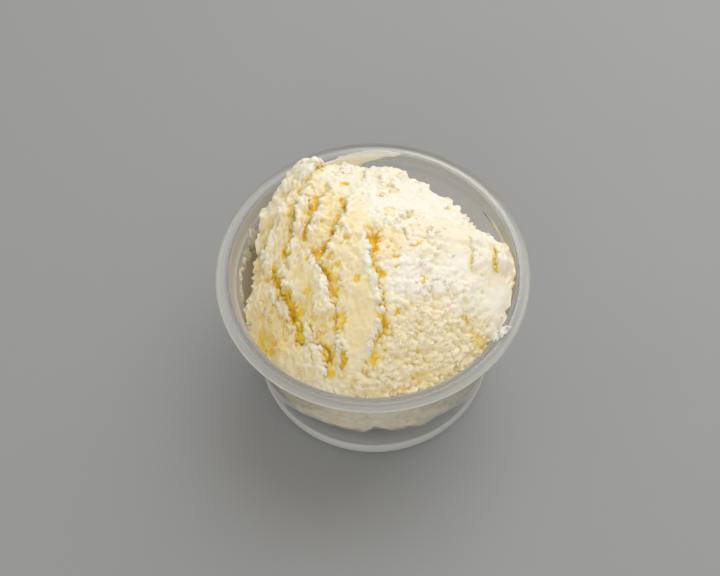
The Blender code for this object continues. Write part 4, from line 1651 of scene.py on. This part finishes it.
@dataclass
class Smears:
    """The flecks on the tub's wall and rim, made as one piece."""

    tub: Tub
    material: bpy.types.Material
    divisions: int = 5
    seed: int = 401               # each fleck takes the next ten

    def one(self, smear: Smear, seed: int) -> tuple[np.ndarray, np.ndarray]:
        """Make one fleck: it lies along the wall, or along the rim where it is that high.

        Args:
            smear: where it is and how large.
            seed: the first of its three noises.

        Returns:
            Its points, in millimetres, and its triangles.
        """
        shape = bmesh.new()
        bmesh.ops.create_icosphere(shape, subdivisions=self.divisions, radius=1.0)
        ball, faces = points_and_faces(shape)
        turn = math.radians(smear.tilt)
        ragged = 1.0 + 0.5 * solid_noise(ball, 0.5, seed) + 0.34 * solid_noise(ball, 0.2, seed + 1)
        along = ball[:, 0] * ragged * smear.length / 2
        across = ball[:, 1] * ragged * smear.width / 2
        around = along * math.cos(turn) - across * math.sin(turn)
        height = smear.height + along * math.sin(turn) + across * math.cos(turn)
        bumps = 1.0 + 0.5 * solid_noise(ball, 0.35, seed + 2)
        proud = ball[:, 2] * bumps * smear.thickness / 2
        if smear.height < self.tub.shoulder:
            radius = smear.radius + proud + self.tub.taper * (height - smear.height)
        else:
            radius, height = smear.radius + (height - smear.height), smear.height + proud
        azimuth = math.radians(smear.azimuth) + around / smear.radius
        points = np.column_stack([radius * np.cos(azimuth), radius * np.sin(azimuth), height])
        return points, faces

    def build(self) -> bpy.types.Object:
        """Make the flecks.

        Returns:
            All of them as one piece.
        """
        points, faces, count = [], [], 0
        for k, smear in enumerate(SMEARS):
            fleck, sides = self.one(smear, self.seed + 10 * k)
            points.append(fleck)
            faces.append(sides + count)
            count += len(fleck)
        mesh = bpy.data.meshes.new("kaymak_smears")
        mesh.from_pydata(np.vstack(points) * MM, [], np.vstack(faces).tolist())
        paint(mesh, {"open": np.full(count, 0.9), "grainy": np.full(count, 0.7),
                     "butter": np.full(count, 0.2)})
        smears = show(mesh, "kaymak_smears", self.material)
        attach(smears, BODY)
        return smears


@dataclass
class Crumbs:
    """Loose grains of curd scattered on the torn places of the heap."""

    material: bpy.types.Material
    per_square_mm: float = 0.16
    smallest: float = 0.6
    largest: float = 1.8
    seed: int = 7

    def scattering_tree(self) -> bpy.types.NodeTree:
        """Build the tree that scatters uneven grains where "loose" is high.

        Returns:
            The geometry tree.
        """
        tree = new_geometry_tree("scattered_grains", {
            "Density": ("NodeSocketFloat", 1.0), "Smallest": ("NodeSocketFloat", 0.001),
            "Largest": ("NodeSocketFloat", 0.002), "Seed": ("NodeSocketInt", 0),
            "Finish": ("NodeSocketMaterial", None)})
        add = partial(add_node, tree)
        given, result = tree.nodes[0].outputs, tree.nodes[1]
        loose = add("GeometryNodeInputNamedAttribute", {"data_type": "FLOAT", "Name": "loose"})
        density = add("ShaderNodeMath", {"operation": "MULTIPLY"},
                      {0: loose, 1: given["Density"]})
        points = add("GeometryNodeDistributePointsOnFaces", {"distribute_method": "RANDOM"},
                     {"Mesh": given["Geometry"], "Density": density, "Seed": given["Seed"]})
        ball = add("GeometryNodeMeshIcoSphere", {"Radius": 0.5, "Subdivisions": 2})
        uneven = add("ShaderNodeTexNoise", {"Scale": 2.4, "Detail": 1.0})
        centred = add("ShaderNodeVectorMath", {"operation": "SUBTRACT", 1: (0.5, 0.5, 0.5)},
                      {0: uneven.outputs["Color"]})
        shifted = add("ShaderNodeVectorMath", {"operation": "SCALE", "Scale": 0.9}, {0: centred})
        grain = add("GeometryNodeSetPosition", None, {"Geometry": ball, "Offset": shifted})
        turn = add("FunctionNodeRandomValue",
                   {"data_type": "FLOAT_VECTOR", 1: (6.283, 6.283, 6.283)},
                   {"Seed": given["Seed"]})
        size = add("FunctionNodeRandomValue", {"data_type": "FLOAT"},
                   {2: given["Smallest"], 3: given["Largest"], "Seed": given["Seed"]})
        shape = add("FunctionNodeRandomValue",
                    {"data_type": "FLOAT_VECTOR", 0: (0.6, 0.6, 0.6), 1: (1.3, 1.0, 1.0)},
                    {"Seed": given["Seed"]})
        scale = add("ShaderNodeVectorMath", {"operation": "SCALE"},
                    {0: shape, "Scale": size.outputs[1]})
        placed = add("GeometryNodeInstanceOnPoints", None,
                     {"Points": points, "Instance": grain, "Rotation": turn, "Scale": scale})
        real = add("GeometryNodeRealizeInstances", None, {0: placed})
        smooth = add("GeometryNodeSetShadeSmooth", None, {0: real})
        dressed = add("GeometryNodeSetMaterial", None,
                      {"Geometry": smooth, "Material": given["Finish"]})
        tree.links.new(dressed.outputs[0], result.inputs[0])
        return tree

    def build(self, kaymak: bpy.types.Object) -> bpy.types.Object:
        """Scatter the grains over the cream.

        Args:
            kaymak: the body of cream.

        Returns:
            The grains as one piece.
        """
        crumbs = show(kaymak.data.copy(), "kaymak_crumbs", self.material)
        apply_tree(crumbs, self.scattering_tree(), {
            "Density": self.per_square_mm / MM ** 2, "Smallest": self.smallest * MM,
            "Largest": self.largest * MM, "Seed": self.seed, "Finish": self.material})
        settled(crumbs)
        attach(crumbs, BODY)
        return crumbs


# --- Studio --------------------------------------------------------------------------

class Lamp(NamedTuple):
    """A soft square lamp, aimed at the tub; distances and size in metres."""

    name: str
    azimuth: float
    elevation: float
    distance: float
    size: float
    power: float


LAMPS = (
    Lamp("key", 54, 50, 0.9, 0.80, 4.3),
    Lamp("front", 252, 17, 1.2, 0.8, 2.4),
)


@dataclass
class Studio:
    """A plain pale floor, soft lamps and the camera."""

    finish: FloorFinish = field(default_factory=FloorFinish)
    floor_size: float = 4.0
    sky: str = "#f3f0ea"
    sky_strength: float = 0.67
    lens: float = 70.0
    elevation: float = 59.13
    roll: float = -1.81
    distance: float = 0.510
    target: tuple[float, float, float] = (-0.0043, 0.0265, 0.0)

    def lay_floor(self) -> None:
        """Make the floor."""
        shape = bmesh.new()
        bmesh.ops.create_grid(shape, x_segments=8, y_segments=8, size=self.floor_size / 2)
        mesh = bpy.data.meshes.new("floor")
        shape.to_mesh(mesh)
        shape.free()
        floor = show(mesh, "floor", self.finish.material())

    def hang_lamps(self) -> None:
        """Hang the lamps and light the world softly."""
        for lamp in LAMPS:
            turn, tilt = math.radians(lamp.azimuth), math.radians(lamp.elevation)
            away = Vector((math.cos(turn) * math.cos(tilt), math.sin(turn) * math.cos(tilt),
                           math.sin(tilt)))
            light = bpy.data.lights.new(lamp.name, "AREA")
            light.energy, light.size = lamp.power, lamp.size
            holder = bpy.data.objects.new(lamp.name, light)
            holder.matrix_world = (Matrix.Translation(away * lamp.distance)
                                   @ away.to_track_quat("Z", "Y").to_matrix().to_4x4())
            bpy.context.scene.collection.objects.link(holder)
        world = bpy.data.worlds.new("soft_sky")
        world.use_nodes = True
        background = world.node_tree.nodes["Background"]
        background.inputs["Color"].default_value = linear(self.sky)
        background.inputs["Strength"].default_value = self.sky_strength
        bpy.context.scene.world = world

    def set_camera(self) -> None:
        """Place the camera, with its slight roll."""
        tilt, roll = math.radians(self.elevation), math.radians(self.roll)
        target = Vector(self.target)
        place = target + Vector((0.0, -math.cos(tilt), math.sin(tilt))) * self.distance
        forward = (target - place).normalized()
        level = Vector((1.0, 0.0, 0.0))
        upright = level.cross(forward)
        right = level * math.cos(roll) + upright * math.sin(roll)
        up = upright * math.cos(roll) - level * math.sin(roll)
        pose = Matrix((right, up, -forward)).transposed().to_4x4()
        pose.translation = place
        data = bpy.data.cameras.new("camera")
        data.lens, data.sensor_width, data.clip_start = self.lens, 36.0, 0.01
        camera = bpy.data.objects.new("camera", data)
        camera.matrix_world = pose
        bpy.context.scene.collection.objects.link(camera)
        bpy.context.scene.camera = camera

    def build(self) -> None:
        """Set up everything round the tub."""
        self.lay_floor()
        self.hang_lamps()
        self.set_camera()
        bpy.context.scene.view_settings.view_transform = "Standard"


def main() -> None:
    """Build every piece in order and report it."""
    logging.basicConfig(level=logging.INFO, format="%(name)s: %(message)s")
    cream = CreamFinish().material()
    # A lighter copy of the cream for the wing and the flecks: painted light, for the light that
    # shines through thin cream, besides its stronger real glow.
    thin = CreamFinish(name="thin_cream_painted_light", crest="#fffdf4", body="#fef9e6", shade="#fcf2d4",
                       glow=0.7, glow_depth=2.5).material()
    tub = Tub()
    heap = Heap(tub)
    log.info("heap worked out over %d places", heap.layers["height"].size)
    pieces = [tub.build()]
    kaymak = Kaymak(tub, heap, cream).build()
    pieces += [kaymak, Wing(tub, thin).build(), Smears(tub, thin).build()]
    pieces.append(Crumbs(cream).build(kaymak))
    kaymak.data.attributes.remove(kaymak.data.attributes["loose"])
    for piece in pieces:
        piece.data.calc_loop_triangles()
        log.info("%s: %d triangles", piece.name, len(piece.data.loop_triangles))
    Studio().build()


if __name__ == "__main__":
    main()
